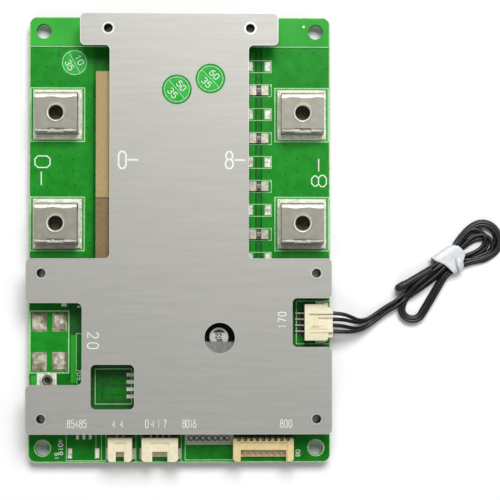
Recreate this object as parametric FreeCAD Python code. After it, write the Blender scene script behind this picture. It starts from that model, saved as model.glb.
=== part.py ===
"""Battery management board: a circuit board under a stepped aluminium heat spreader.

Millimetres. The origin is the middle of the board, on the plane that the screw
heads stand on. +X is right, +Y is the end with the broad flange, +Z is up.
"""
import FreeCAD
import Part
import math
import os
from FreeCAD import Vector

os.makedirs("parts", exist_ok=True)

# Board
BOARD_W = 100.0
BOARD_L = 148.0
BOARD_T = 2.0
BOARD_CORNER_R = 2.5
MOUNT_HOLE_D = 5.0
MOUNT_HOLE_INSET = 4.75

# Screws and standoffs that hold the plate
SCREW_HEAD_H = 2.4
SCREW_HEAD_D = 5.6
SCREW_RECESS = 1.1
SCREW_LENGTH = 6.0
THREAD_CORE_D = 2.5
THREAD_PLAY = 0.04
SCREW_HOLE_D = 3.2
STANDOFF_H = 6.0
STANDOFF_FLATS = 5.5
SPIGOT_D = 4.2
FIT_GAP = 0.02
SPIGOT_CHAMFER = 0.35

# Heat spreader plate
PLATE_T = 3.0
PLATE_CORNER_R = 1.6
FLANGE_W = 65.0
FLANGE_L = 10.6
BAY_W = 27.2
NECK_END_Y = -6.6
CONNECTOR_STRIP = 10.0
LEFT_NOTCH_DEPTH = 18.3
LEFT_NOTCH_L = 26.8
LEFT_NOTCH_ABOVE_END = 16.0
RIGHT_NOTCH_DEPTH = 12.9
RIGHT_NOTCH_L = 16.0
WINDOW_W = 14.2
WINDOW_L = 14.6
WINDOW_FROM_LEFT = 28.3
WINDOW_ABOVE_END = 15.4
ROUND_HOLE_D = 10.0
ROUND_HOLE_X = 13.3
ROUND_HOLE_ABOVE_END = 31.4
FLANGE_STANDOFF_X = 23.3
FLANGE_STANDOFF_INSET = 5.0
SIDE_STANDOFF_INSET = 5.0
UPPER_STANDOFF_DROP = 4.8
LOWER_STANDOFF_RISE = 5.0

# Folded screw terminals
TERMINAL_INSET = 9.4
TERMINAL_ABOVE_STEP = 11.6
TERMINAL_PITCH = 36.4
TERMINAL_W = 14.0
TERMINAL_L = 13.6
TERMINAL_H = 7.2
SHEET_T = 1.2
BEND_R = 1.7
SEAM_GAP = 0.12
SEAM_DROP = 3.0
TAB_W = 4.7
THREAD_D = 5.0
THREAD_CHAMFER = 0.6
COLLAR_WALL = 1.2
COLLAR_H = 2.4
BASE_HOLE_D = 6.4
SOLDER_FOOT_X = 1.2
SOLDER_FOOT_Y = 1.6
SOLDER_FOOT_H = 1.0

# Current-sense resistors and their places
SHUNT_FROM_TERMINAL = 7.3
SHUNT_BELOW_FLANGE = 5.8
SHUNT_PITCH = 8.0
SHUNT_PLACES = 9
SHUNT_L = 6.4
SHUNT_W = 3.2
SHUNT_T = 0.9
SHUNT_CORE_L = 2.1
SHUNT_CORE_DROP = 0.12
SHUNT_PAD_L = 2.1
SHUNT_PAD_SPAN = 8.0
SOLDER_SKIN = 0.25

# Transistors and the sheets above them
TRANSISTOR_W = 10.2
TRANSISTOR_BODY_L = 9.2
TRANSISTOR_H = 4.4
TRANSISTOR_TAB_L = 1.4
TRANSISTOR_TAB_T = 1.3
TRANSISTOR_TAPER = 0.3
TRANSISTOR_LEAD_L = 4.2
TRANSISTOR_LEAD_W = 0.9
TRANSISTOR_LEAD_T = 0.5
TRANSISTOR_LEAD_Z = 1.9
TRANSISTOR_LEAD_FOOT = 2.2
TRANSISTOR_LEAD_PITCH = 2.54
TRANSISTOR_PITCH = 11.0
TRANSISTOR_COUNT = 6
TRANSISTOR_BELOW_FLANGE = 13.9
CHARGE_ROW_FROM_TERMINAL = 6.5
DISCHARGE_ROW_FROM_SHUNTS = 0.3
SHEET_PAST_TABS = 0.4
SHEET_W = 12.3
SHEET_MARGIN = 0.5
SHEET_UPPER_L = 41.5

# Capacitor in the round hole, and the grey pad beside it
CAN_D = 6.3
CAN_H = 4.5
CAN_NECK_D = 5.7
CAN_OFFSET = (-0.25, 0.2)
CAN_BASE_W = 6.6
CAN_BASE_H = 0.9
GAP_PAD_T = 0.3
GAP_PAD_W = 13.0
GAP_PAD_EDGE_BELOW = 1.3
GAP_PAD_L = 5.0

# Side-entry connectors
PIN_PITCH = 2.0
PIN_SIDE = 0.5
HEADER_DEPTH = 7.8
HEADER_FRONT_INSET = 0.7
HEADER_H = 5.5
HEADER_WALL = 0.95
HEADER_REAR_WALL = 1.7
HEADER_FLOOR = 0.8
HEADER_CAVITY_H = 3.7
HEADER_FLOOR_SETBACK = 1.2
HEADER_MOUTH_L = 3.3
ROOF_RECESS = 0.45
ROOF_RECESS_MARGIN = 0.5
ROOF_REAR_STRIP = 1.5
HEADER_CHAMFER = 0.7
PIN_REACH = 4.0
LEAD_REACH = 2.9
LEAD_DROP_AT = 0.7
TAB_FOOT = 0.9
TAB_L = 3.5
TAB_H = 2.4
TAB_T = 0.3
TAB_FRONT = 0.5
END_MARGIN = 2.95
HEADER_2PIN_X = -19.4
HEADER_2PIN_MOUTH = 2.75
HEADER_4PIN_X = -6.3
HEADER_4PIN_MOUTH = 5.0
SENSOR_HEADER_Y = -27.6
SENSOR_FRONT_INSET = 0.9

# Nine-pin through-hole connector
COMB_HEADER_X = 27.75
COMB_PINS = 9
COMB_H = 4.8
COMB_END_MARGIN = 1.95
COMB_CAVITY_H = 3.0
COMB_MOUTH_L = 3.8
COMB_WALL = 0.8
COMB_MOUTH = 15.0
COMB_L = 1.1
COMB_SLOT_W = 1.1
COMB_TOOTH_TIP = 0.35
PIN_HOLE_D = 0.9
PIN_BELOW = 1.4
SPARE_HOLES = 7
SPARE_HOLE_X = 3.8

# Sensor plug
PLUG_PLAY = 0.1
PLUG_REAR_REACH = 1.5
PLUG_RIB_W = 0.8
PLUG_RIB_H = 0.75
PLUG_CELL = 1.5
CRIMP_BOX = 1.3
CRIMP_FRONT_GAP = 0.4
CRIMP_BORE = 0.7
WIRE_D = 1.3
WIRE_BORE_L = 1.6

# Solder pads and eyelet
HEATER_PAD_W = 4.9
HEATER_PAD_L = 6.4
HEATER_PAD_H = 0.9
HEATER_PAD_FROM_EDGE = (3.6, 10.3)
HEATER_PAD_BELOW_NOTCH_TOP = (6.4, 19.5)
EYELET_FROM_EDGE = 6.3
EYELET_BELOW_NOTCH_TOP = 25.7
EYELET_D = 5.3
EYELET_BORE = 2.3
EYELET_BARREL_D = 3.2
EYELET_RIM_H = 0.7
WINDOW_PAD_FROM_RIGHT = 1.3
WINDOW_PAD_COUNT = 4
WINDOW_PAD_PITCH = 2.45
WINDOW_PAD_W = 3.4
WINDOW_PAD_L = 1.4
SPARE_PAD_BEFORE_2PIN = (14.3, 12.2, 10.1)
SPARE_TAB_BEFORE_2PIN = (16.8, 7.8)
SPARE_TAB_FROM_END = 3.0

# Small parts under the wide half of the plate
CONTROLLER_X = -4.0
CONTROLLER_ABOVE_END = 40.0
CONTROLLER_W = 9.0
MONITOR_X = 27.0
MONITOR_ABOVE_END = 18.0
MONITOR_W = 12.0
CHIP_H = 1.5
CHIP_LEAD_L = 1.0
CHIP_LEAD_T = 0.25
INTERFACE_X = (-4.0, 8.0)
INTERFACE_ABOVE_END = 9.0
INTERFACE_W = 5.0
INTERFACE_L = 4.0
BALANCE_X = -2.0
BALANCE_ABOVE_END = 22.0
BALANCE_PITCH = 4.0
BALANCE_COLUMNS = 5
BALANCE_ROWS = 2
BALANCE_L = 3.2
BALANCE_W = 1.6
BALANCE_T = 0.6

# Sensor wires on the floor: hand-chosen points, from the plug to the hank
WIRE_ROUTES = (
    ((50.6, -24.6, 7.05), (53.9, -24.75, 6.95), (56.9, -25.85, 5.75), (59.6, -27.1, 4.0),
     (62.4, -26.85, 2.7), (65.4, -24.95, 2.3), (68.78, -22.61, 2.3), (71.9, -20.81, 2.3)),
    ((50.6, -26.6, 7.05), (53.8, -26.65, 6.6), (56.5, -27.2, 4.4), (59.1, -27.85, 2.1),
     (62.1, -27.2, 0.95), (65.2, -25.15, 0.72), (68.78, -22.61, 0.72), (71.9, -20.81, 0.72)),
    ((50.6, -28.6, 7.05), (53.7, -28.75, 6.5), (56.8, -29.55, 4.2), (60.0, -29.85, 1.75),
     (63.1, -28.9, 0.8), (66.2, -26.75, 0.72), (69.58, -23.99, 0.72), (72.7, -22.19, 0.72)),
    ((50.6, -30.6, 7.05), (53.8, -30.8, 6.9), (57.2, -30.85, 5.6), (60.6, -30.2, 3.7),
     (63.6, -28.5, 2.5), (66.3, -26.3, 2.3), (69.58, -23.99, 2.3), (72.7, -22.19, 2.3)),
)

# Hank of wound wire, lying on the floor. A third value is the radius of that corner.
HANK_H = 4.2
HANK_R = 8.0
HANK_BEVEL = 0.45
HANK_OUTLINE = (
    (71.15, -19.51, 0.5), (73.0, -18.1, 0.5), (85.83, -10.93, 0.4), (84.37, -8.31, 0.5),
    (87.0, -6.0), (92.3, -1.8), (96.5, 3.6), (99.8, 6.6), (104.0, 7.5), (107.6, 5.2),
    (109.2, 0.6), (108.0, -5.0), (104.0, -8.8), (98.4, -10.2), (94.9, -10.5), (91.6, -11.4),
    (86.5, -18.6), (80.9, -26.2), (77.3, -27.8), (74.0, -25.9, 1.0), (73.45, -23.49, 0.5),
)
LOOP_EYE = ((75.3, -22.2), (75.7, -25.0), (78.9, -24.7), (85.7, -14.4), (80.9, -17.0))
LENS_EYE = ((96.3, -4.4), (98.8, -1.1), (103.0, 0.7), (101.5, -2.6))
EYE_R = 3.0
TIE_OUTLINE = (
    (85.9, -7.6), (88.2, -4.9), (91.6, -1.75), (93.6, -2.2), (96.3, -4.7),
    (95.3, -9.5), (94.1, -11.6), (91.6, -11.9), (89.0, -10.3),
)
TIE_R = 0.6
TIE_BEVEL = 0.3
TIE_CENTRE = (91.45, -6.6)
TIE_ANGLE = 35.0
TIE_RISE = 0.3
TIE_T = 0.45
TUNNEL_W = 7.4
TUNNEL_L = 20.0

# Sensor beads beside the hank
BEAD_D = 2.7
BEAD_START = (72.2, -16.7)
BEAD_END = (84.2, -10.0)
BEAD_TIP = 0.6
BEAD_GAP = 0.3


def level(height):
    """Height above the board's top face, as a Z."""
    return SCREW_HEAD_H + BOARD_T + height


BOARD_TOP = level(0.0)
PLATE_BOTTOM = level(STANDOFF_H)
PLATE_TOP = PLATE_BOTTOM + PLATE_T
NECK_X = BOARD_W / 2 - BAY_W
FLANGE_Y = BOARD_L / 2 - FLANGE_L
WIDE_END_Y = -BOARD_L / 2 + CONNECTOR_STRIP
LEFT_NOTCH_TOP_Y = WIDE_END_Y + LEFT_NOTCH_ABOVE_END + LEFT_NOTCH_L
ROUND_HOLE_AT = (ROUND_HOLE_X, WIDE_END_Y + ROUND_HOLE_ABOVE_END)
WINDOW_AT = (-BOARD_W / 2 + WINDOW_FROM_LEFT, WIDE_END_Y + WINDOW_ABOVE_END)
TERMINAL_INNER_X = BOARD_W / 2 - TERMINAL_INSET - TERMINAL_W / 2
SHUNT_X = TERMINAL_INNER_X - SHUNT_FROM_TERMINAL


def block(x0, x1, y0, y1, z0, z1):
    return Part.makeBox(x1 - x0, y1 - y0, z1 - z0, Vector(x0, y0, z0))


def slab(centre, width, length, z0, z1):
    """A box given by its middle, its size in X and Y, and its two heights."""
    x, y = centre
    return block(x - width / 2, x + width / 2, y - length / 2, y + length / 2, z0, z1)


def disc(centre, diameter, z0, z1):
    return Part.makeCylinder(diameter / 2, z1 - z0, Vector(centre[0], centre[1], z0))


def revolved(profile, centre):
    """A turned piece: profile is (radius, z) points round a vertical axis."""
    wire = Part.makePolygon([Vector(r, 0, z) for r, z in profile + profile[:1]])
    turned = Part.Face(wire).revolve(Vector(0, 0, 0), Vector(0, 0, 1), 360)
    turned.translate(Vector(centre[0], centre[1], 0))
    return turned


def corner(before, at, after, setback):
    """The arc that rounds a corner, as (start, middle, end) and its radius."""
    back = (before - at).normalize()
    ahead = (after - at).normalize()
    half = back.getAngle(ahead) / 2
    radius = setback * math.tan(half)
    inward = (back + ahead).normalize()
    middle = at + inward * (setback / math.cos(half) - radius)
    return at + back * setback, middle, at + ahead * setback, radius


def rounded_wire(points, setbacks, closed):
    """Straight runs joined by tangent arcs. A setback of 0 leaves a sharp corner."""
    count = len(points)
    corners = range(count) if closed else range(1, count - 1)
    arcs = {}
    for i in corners:
        if setbacks[i] > 0:
            arcs[i] = corner(points[i - 1], points[i], points[(i + 1) % count], setbacks[i])
    edges = []
    for i in range(count if closed else count - 1):
        j = (i + 1) % count
        start = arcs[i][2] if i in arcs else points[i]
        end = arcs[j][0] if j in arcs else points[j]
        if (end - start).Length > 1e-6:
            edges.append(Part.LineSegment(start, end).toShape())
        if j in arcs:
            edges.append(Part.Arc(arcs[j][0], arcs[j][1], arcs[j][2]).toShape())
    return Part.Wire(Part.__sortEdges__(edges))


def prism(outline, radius, z0, z1):
    """An outline extruded upward. Its points are (x, y), or (x, y, radius of that corner)."""
    points = [Vector(point[0], point[1], z0) for point in outline]
    setbacks = []
    for i, at in enumerate(points):
        back = points[i - 1] - at
        ahead = points[(i + 1) % len(points)] - at
        own = outline[i][2] if len(outline[i]) > 2 else radius
        setback = own / math.tan(back.getAngle(ahead) / 2)
        setbacks.append(min(setback, 0.45 * min(back.Length, ahead.Length)))
    return Part.Face(rounded_wire(points, setbacks, True)).extrude(Vector(0, 0, z1 - z0))


def tapered(centre, width, length, taper, z0, z1):
    """A pad of solder: a box whose top is smaller all round by taper."""
    rings = []
    for shrink, z in ((0.0, z0), (taper, z1)):
        half_w = width / 2 - shrink
        half_l = length / 2 - shrink
        x, y = centre
        rings.append([
            Vector(x - half_w, y - half_l, z),
            Vector(x + half_w, y - half_l, z),
            Vector(x + half_w, y + half_l, z),
            Vector(x - half_w, y + half_l, z),
        ])
    low, high = rings
    outlines = [low, high]
    for i in range(4):
        j = (i + 1) % 4
        outlines.append([low[i], low[j], high[j], high[i]])
    faces = [Part.Face(Part.makePolygon(points + points[:1])) for points in outlines]
    solid = Part.Solid(Part.Shell(faces))
    if solid.Volume < 0:
        solid.reverse()
    return solid


def standoff_places():
    side_x = BOARD_W / 2 - SIDE_STANDOFF_INSET
    flange_y = BOARD_L / 2 - FLANGE_STANDOFF_INSET
    upper_y = NECK_END_Y - UPPER_STANDOFF_DROP
    lower_y = WIDE_END_Y + LOWER_STANDOFF_RISE
    places = []
    for side in (-1, 1):
        places.append((side * FLANGE_STANDOFF_X, flange_y))
        places.append((side * side_x, upper_y))
        places.append((side * side_x, lower_y))
    return places


def mount_places():
    x = BOARD_W / 2 - MOUNT_HOLE_INSET
    y = BOARD_L / 2 - MOUNT_HOLE_INSET
    return [(sx * x, sy * y) for sx in (-1, 1) for sy in (-1, 1)]


def comb_rear_y():
    return -BOARD_L / 2 + HEADER_FRONT_INSET + HEADER_DEPTH


def comb_pin_places():
    y = comb_rear_y() - PIN_SIDE
    first = COMB_HEADER_X - (COMB_PINS - 1) * PIN_PITCH / 2
    return [(first + i * PIN_PITCH, y) for i in range(COMB_PINS)]


def spare_hole_places():
    y = comb_pin_places()[0][1]
    return [(SPARE_HOLE_X + i * PIN_PITCH, y) for i in range(SPARE_HOLES)]


def eyelet_place():
    return -BOARD_W / 2 + EYELET_FROM_EDGE, LEFT_NOTCH_TOP_Y - EYELET_BELOW_NOTCH_TOP


def circuit_board():
    half_w = BOARD_W / 2
    half_l = BOARD_L / 2
    outline = [(-half_w, -half_l), (half_w, -half_l), (half_w, half_l), (-half_w, half_l)]
    board = prism(outline, BOARD_CORNER_R, BOARD_TOP - BOARD_T, BOARD_TOP)
    drills = [(place, MOUNT_HOLE_D) for place in mount_places()]
    drills += [(place, SCREW_HOLE_D) for place in standoff_places()]
    drills += [(place, PIN_HOLE_D) for place in comb_pin_places() + spare_hole_places()]
    drills.append((eyelet_place(), EYELET_BARREL_D))
    holes = [disc(place, d, BOARD_TOP - BOARD_T - 1, BOARD_TOP + 1) for place, d in drills]
    return board.cut(Part.makeCompound(holes))


def plate_outline():
    half = BOARD_W / 2
    top = BOARD_L / 2
    left_end_y = LEFT_NOTCH_TOP_Y - LEFT_NOTCH_L
    right_top_y = SENSOR_HEADER_Y + RIGHT_NOTCH_L / 2
    right_end_y = SENSOR_HEADER_Y - RIGHT_NOTCH_L / 2
    return [
        (-FLANGE_W / 2, top), (-FLANGE_W / 2, FLANGE_Y), (-NECK_X, FLANGE_Y),
        (-NECK_X, NECK_END_Y), (-half, NECK_END_Y), (-half, LEFT_NOTCH_TOP_Y),
        (-half + LEFT_NOTCH_DEPTH, LEFT_NOTCH_TOP_Y), (-half + LEFT_NOTCH_DEPTH, left_end_y),
        (-half, left_end_y), (-half, WIDE_END_Y), (half, WIDE_END_Y), (half, right_end_y),
        (half - RIGHT_NOTCH_DEPTH, right_end_y), (half - RIGHT_NOTCH_DEPTH, right_top_y),
        (half, right_top_y), (half, NECK_END_Y), (NECK_X, NECK_END_Y),
        (NECK_X, FLANGE_Y), (FLANGE_W / 2, FLANGE_Y), (FLANGE_W / 2, top),
    ]


def heat_spreader_plate():
    plate = prism(plate_outline(), PLATE_CORNER_R, PLATE_BOTTOM, PLATE_TOP)
    x, y = WINDOW_AT
    window = [(x + sx * WINDOW_W / 2, y + sy * WINDOW_L / 2)
              for sx, sy in ((-1, -1), (1, -1), (1, 1), (-1, 1))]
    cuts = [prism(window, PLATE_CORNER_R, PLATE_BOTTOM - 1, PLATE_TOP + 1)]
    cuts.append(disc(ROUND_HOLE_AT, ROUND_HOLE_D, PLATE_BOTTOM - 1, PLATE_TOP + 1))
    for place in standoff_places():
        cuts.append(disc(place, SPIGOT_D + 2 * FIT_GAP, PLATE_BOTTOM - 1, PLATE_TOP + 1))
    return plate.cut(Part.makeCompound(cuts))


def standoff(place):
    """Hexagonal body under the plate and a round spigot through it, with one bore."""
    radius = STANDOFF_FLATS / math.sqrt(3)
    points = [(place[0] + radius * math.cos(math.radians(60 * i)),
               place[1] + radius * math.sin(math.radians(60 * i))) for i in range(6)]
    body = prism(points, 0, BOARD_TOP, PLATE_BOTTOM)
    spigot = disc(place, SPIGOT_D, PLATE_BOTTOM, PLATE_TOP)
    bore = THREAD_CORE_D / 2
    mouth = bore + SPIGOT_CHAMFER
    drill = revolved([(0, BOARD_TOP - 1), (bore, BOARD_TOP - 1), (bore, PLATE_TOP - SPIGOT_CHAMFER),
                      (mouth, PLATE_TOP), (mouth, PLATE_TOP + 1), (0, PLATE_TOP + 1)], place)
    return body.fuse(spigot).cut(drill).removeSplitter()


def plate_screw(place):
    """Pan head below the board; the thread is plain, at its core diameter."""
    head_r = SCREW_HEAD_D / 2
    core_r = (THREAD_CORE_D - THREAD_PLAY) / 2
    edge = 0.3 * SCREW_HEAD_H
    end = SCREW_HEAD_H + SCREW_LENGTH
    screw = revolved([(0, 0), (head_r - edge, 0), (head_r, edge), (head_r, SCREW_HEAD_H),
                      (core_r, SCREW_HEAD_H), (core_r, end), (0, end)], place)
    arm = SCREW_HEAD_D * 0.3
    width = SCREW_HEAD_D * 0.13
    cross = slab(place, 2 * arm, width, -1, SCREW_RECESS)
    cross = cross.fuse(slab(place, width, 2 * arm, -1, SCREW_RECESS))
    return screw.cut(cross)


def folded_band(width, length, height, z0):
    """The terminal's closed strip, seen along X: a rounded ring of bent sheet."""
    rings = []
    for inset, radius in ((0.0, BEND_R), (SHEET_T, BEND_R - SHEET_T)):
        y = length / 2 - inset
        low = z0 + inset
        high = z0 + height - inset
        points = [Vector(-width / 2, -y, low), Vector(-width / 2, y, low),
                  Vector(-width / 2, y, high), Vector(-width / 2, -y, high)]
        rings.append(Part.Face(rounded_wire(points, [radius] * 4, True)))
    return rings[0].cut(rings[1]).extrude(Vector(width, 0, 0))


def screw_terminal(centre):
    """One strip folded into a band, its two ends interlocked by a tab, with a tapped collar."""
    z0 = BOARD_TOP
    top = z0 + TERMINAL_H
    front = -TERMINAL_L / 2
    band = folded_band(TERMINAL_W, TERMINAL_L, TERMINAL_H, z0)
    collar_d = THREAD_D + 2 * COLLAR_WALL
    under = top - SHEET_T
    collar = disc((0, 0), collar_d, under - COLLAR_H, under)
    lug = band.fuse(collar).removeSplitter()
    bore = THREAD_D / 2
    mouth = bore + THREAD_CHAMFER
    tap = revolved([(0, under - COLLAR_H - 1), (bore, under - COLLAR_H - 1),
                    (bore, top - THREAD_CHAMFER), (mouth, top), (mouth, top + 1), (0, top + 1)],
                   (0, 0))
    base_hole = disc((0, 0), BASE_HOLE_D, z0 - 1, z0 + SHEET_T + 0.5)
    seam_z = top - SEAM_DROP
    tab_half = TAB_W / 2
    outside = front - 1
    inside = front + SHEET_T + SEAM_GAP
    gaps = [
        block(-TERMINAL_W, -tab_half, outside, inside, seam_z - SEAM_GAP, seam_z),
        block(tab_half, TERMINAL_W, outside, inside, seam_z - SEAM_GAP, seam_z),
        block(-tab_half - SEAM_GAP, -tab_half, outside, inside, seam_z - SEAM_GAP, top + 1),
        block(tab_half, tab_half + SEAM_GAP, outside, inside, seam_z - SEAM_GAP, top + 1),
        block(-tab_half - SEAM_GAP, tab_half + SEAM_GAP, inside - SEAM_GAP, inside,
              top - SHEET_T - 1, top + 1),
    ]
    foot_notch = disc((0, front), SHEET_T * 1.5, z0 - 1, z0 + SHEET_T)
    lug = lug.cut(Part.makeCompound([tap, base_hole])).cut(Part.makeCompound(gaps)).cut(foot_notch)
    lug.translate(Vector(centre[0], centre[1], 0))
    return lug


def terminal_places():
    x = BOARD_W / 2 - TERMINAL_INSET
    low = NECK_END_Y + TERMINAL_ABOVE_STEP
    high = low + TERMINAL_PITCH
    return {
        "terminal_charge_upper": (-x, high),
        "terminal_charge_lower": (-x, low),
        "terminal_battery_upper": (x, high),
        "terminal_battery_lower": (x, low),
    }


def terminal_fillet(centre):
    """Solder round a terminal's foot, sloping out to the edge of its pad."""
    width = TERMINAL_W + 2 * SOLDER_FOOT_X
    length = TERMINAL_L + 2 * SOLDER_FOOT_Y
    taper = SOLDER_FOOT_X * 0.8
    mound = tapered(centre, width, length, taper, BOARD_TOP, BOARD_TOP + SOLDER_FOOT_H)
    inner = slab(centre, TERMINAL_W, TERMINAL_L, BOARD_TOP - 1, BOARD_TOP + SOLDER_FOOT_H + 1)
    return mound.cut(inner)


def shunt_place(i):
    return SHUNT_X, FLANGE_Y - SHUNT_BELOW_FLANGE - i * SHUNT_PITCH


def shunt_resistor(place):
    """Flat metal resistor: two wide silver ends and a slightly lower dark middle."""
    x, y = place
    top = BOARD_TOP + SHUNT_T
    body = slab(place, SHUNT_L, SHUNT_W, BOARD_TOP, top)
    half = SHUNT_CORE_L / 2
    edge = SHUNT_CORE_DROP
    front = y - SHUNT_W / 2
    back = y + SHUNT_W / 2
    body = body.cut(block(x - half, x + half, front - 1, back + 1, top - edge, top + 1))
    body = body.cut(block(x - half, x + half, front - 1, front + edge, BOARD_TOP - 1, top))
    return body.cut(block(x - half, x + half, back - edge, back + 1, BOARD_TOP - 1, top))


def spare_shunt_pads(place):
    x, y = place
    offset = (SHUNT_PAD_SPAN - SHUNT_PAD_L) / 2
    return [tapered((x + side * offset, y), SHUNT_PAD_L, SHUNT_W + 0.2, 0.2,
                    BOARD_TOP, BOARD_TOP + SOLDER_SKIN) for side in (-1, 1)]


def transistor_lead(lead_x, y):
    """Gull-wing lead, cut from a bent profile in XZ."""
    low = BOARD_TOP
    high = BOARD_TOP + TRANSISTOR_LEAD_Z
    t = TRANSISTOR_LEAD_T
    end = lead_x + TRANSISTOR_LEAD_L
    heel = end - TRANSISTOR_LEAD_FOOT
    profile = [(lead_x - 1, high), (heel - t, high), (heel - t, low), (end, low),
               (end, low + t), (heel, low + t), (heel, high + t), (lead_x - 1, high + t)]
    side = y - TRANSISTOR_LEAD_W / 2
    wire = Part.makePolygon([Vector(x, side, z) for x, z in profile + profile[:1]])
    return Part.Face(wire).extrude(Vector(0, TRANSISTOR_LEAD_W, 0))


def transistor(outer_x, y, inward):
    """Power transistor lying flat: tab at outer_x, leads pointing inward (+1 or -1)."""
    z0 = BOARD_TOP
    half = TRANSISTOR_W / 2
    middle = TRANSISTOR_TAB_L + TRANSISTOR_BODY_L / 2
    lead_x = TRANSISTOR_TAB_L + TRANSISTOR_BODY_L
    shape = tapered((middle, 0), TRANSISTOR_BODY_L, TRANSISTOR_W, TRANSISTOR_TAPER,
                    z0, z0 + TRANSISTOR_H)
    corner_cut = TRANSISTOR_TAB_L * 0.7
    tab = [(0, -half + corner_cut), (corner_cut, -half), (middle, -half), (middle, half),
           (corner_cut, half), (0, half - corner_cut)]
    shape = shape.fuse(prism(tab, 0, z0, z0 + TRANSISTOR_TAB_T))
    for k in (-1, 0, 1):
        shape = shape.fuse(transistor_lead(lead_x, k * TRANSISTOR_LEAD_PITCH))
    shape = shape.removeSplitter()
    if inward < 0:
        shape = shape.mirror(Vector(0, 0, 0), Vector(1, 0, 0))
    shape.translate(Vector(outer_x, y, 0))
    return shape


def transistor_ys():
    return [FLANGE_Y - TRANSISTOR_BELOW_FLANGE - i * TRANSISTOR_PITCH
            for i in range(TRANSISTOR_COUNT)]


def transistor_row(outer_x, inward):
    return [transistor(outer_x, y, inward) for y in transistor_ys()]


def heat_sheet(x0, x1, y0, y1):
    """A sheet squeezed between the transistors and the plate."""
    return block(x0, x1, y0, y1, BOARD_TOP + TRANSISTOR_H, PLATE_BOTTOM)


def can_centre():
    return ROUND_HOLE_AT[0] + CAN_OFFSET[0], ROUND_HOLE_AT[1] + CAN_OFFSET[1]


def can_capacitor():
    z0 = BOARD_TOP + CAN_BASE_H
    z1 = z0 + CAN_H
    full = CAN_D / 2
    waist = CAN_NECK_D / 2
    return revolved([(0, z0), (full, z0), (full, z0 + 0.5), (waist, z0 + 0.8), (full, z0 + 1.1),
                     (full, z1 - 0.25), (full - 0.25, z1), (full - 0.6, z1), (full - 0.7, z1 - 0.1),
                     (0, z1 - 0.1)], can_centre())


def can_capacitor_base():
    x, y = can_centre()
    half = CAN_BASE_W / 2
    cut = half * 0.4
    outline = [(x - half, y - half), (x + half, y - half), (x + half, y + half - cut),
               (x + half - cut, y + half), (x - half + cut, y + half), (x - half, y + half - cut)]
    return prism(outline, 0, BOARD_TOP, BOARD_TOP + CAN_BASE_H)


def grey_gap_pad():
    x, y = ROUND_HOLE_AT
    edge = y - GAP_PAD_EDGE_BELOW
    return block(x - GAP_PAD_W / 2, x + GAP_PAD_W / 2, edge - GAP_PAD_L, edge,
                 PLATE_BOTTOM - GAP_PAD_T, PLATE_BOTTOM)


def pin_xs(count):
    return [(i - (count - 1) / 2) * PIN_PITCH for i in range(count)]


def housing_shell(width, height, wall, mouth, mouth_l, cavity_h):
    """A connector's moulding. It opens towards -Y; its rear face is on Y = 0 and its foot on Z = 0."""
    half = width / 2
    front = -HEADER_DEPTH
    shell = block(-half, half, front, 0, 0, height)
    corners = [e for e in shell.Edges
               if abs(e.BoundBox.YMin - front) < 1e-6 and abs(e.BoundBox.YMax - front) < 1e-6
               and e.BoundBox.ZLength > height / 2]
    shell = shell.makeChamfer(HEADER_CHAMFER, corners)
    cavity_top = HEADER_FLOOR + cavity_h
    roof_half = mouth / 2
    recess_half = roof_half + ROOF_RECESS_MARGIN
    cuts = [
        block(-half + wall, half - wall, front - 1, -HEADER_REAR_WALL, HEADER_FLOOR, cavity_top),
        block(-half + wall, half - wall, front - 1, front + HEADER_FLOOR_SETBACK, -1, cavity_top),
        block(-roof_half, roof_half, front - 1, front + mouth_l, HEADER_FLOOR, height + 1),
        block(-recess_half, recess_half, front - 1, -ROOF_REAR_STRIP, height - ROOF_RECESS,
              height + 1),
    ]
    return shell.cut(Part.makeCompound(cuts))


def pin_axis():
    """Height of the pins above the connector's foot, in the middle of the cavity."""
    return HEADER_FLOOR + HEADER_CAVITY_H / 2


def surface_housing(count, mouth):
    width = (count - 1) * PIN_PITCH + 2 * END_MARGIN
    shell = housing_shell(width, HEADER_H, HEADER_WALL, mouth, HEADER_MOUTH_L, HEADER_CAVITY_H)
    half = PIN_SIDE / 2
    z = pin_axis()
    holes = [block(x - half, x + half, -HEADER_REAR_WALL - 1, 1, z - half, z + half)
             for x in pin_xs(count)]
    return shell.cut(Part.makeCompound(holes))


def surface_contact(x):
    """Square pin through the rear wall, bent down behind it, with a foot on the board."""
    half = PIN_SIDE / 2
    z = pin_axis()
    drop = LEAD_DROP_AT
    pin = block(x - half, x + half, -HEADER_REAR_WALL - PIN_REACH, drop, z - half, z + half)
    leg = block(x - half, x + half, drop - PIN_SIDE, drop, 0, z + half)
    foot = block(x - half, x + half, drop - PIN_SIDE, LEAD_REACH, 0, PIN_SIDE)
    return pin.fuse(leg).fuse(foot).removeSplitter()


def fixing_tab(side, half_width):
    """L-shaped tab against one side wall, soldered to the board."""
    y0 = -HEADER_DEPTH + TAB_FRONT
    y1 = y0 + TAB_L
    plate = block(0, TAB_T, y0, y1, 0, TAB_H)
    tab = plate.fuse(block(0, TAB_FOOT, y0, y1, 0, TAB_T)).removeSplitter()
    if side < 0:
        tab = tab.mirror(Vector(0, 0, 0), Vector(1, 0, 0))
    tab.translate(Vector(side * half_width, 0, 0))
    return tab


def facing_down(shape, x):
    """Puts a connector at the board's -Y edge."""
    placed = shape.copy()
    placed.translate(Vector(x, comb_rear_y(), BOARD_TOP))
    return placed


def sensor_rear_x():
    return BOARD_W / 2 - SENSOR_FRONT_INSET - HEADER_DEPTH


def facing_right(shape):
    """Puts a connector in the right notch, opening towards +X."""
    placed = shape.copy()
    placed.rotate(Vector(0, 0, 0), Vector(0, 0, 1), 90)
    placed.translate(Vector(sensor_rear_x(), SENSOR_HEADER_Y, BOARD_TOP))
    return placed


def half_width(count):
    return (count - 1) * PIN_PITCH / 2 + END_MARGIN


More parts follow.
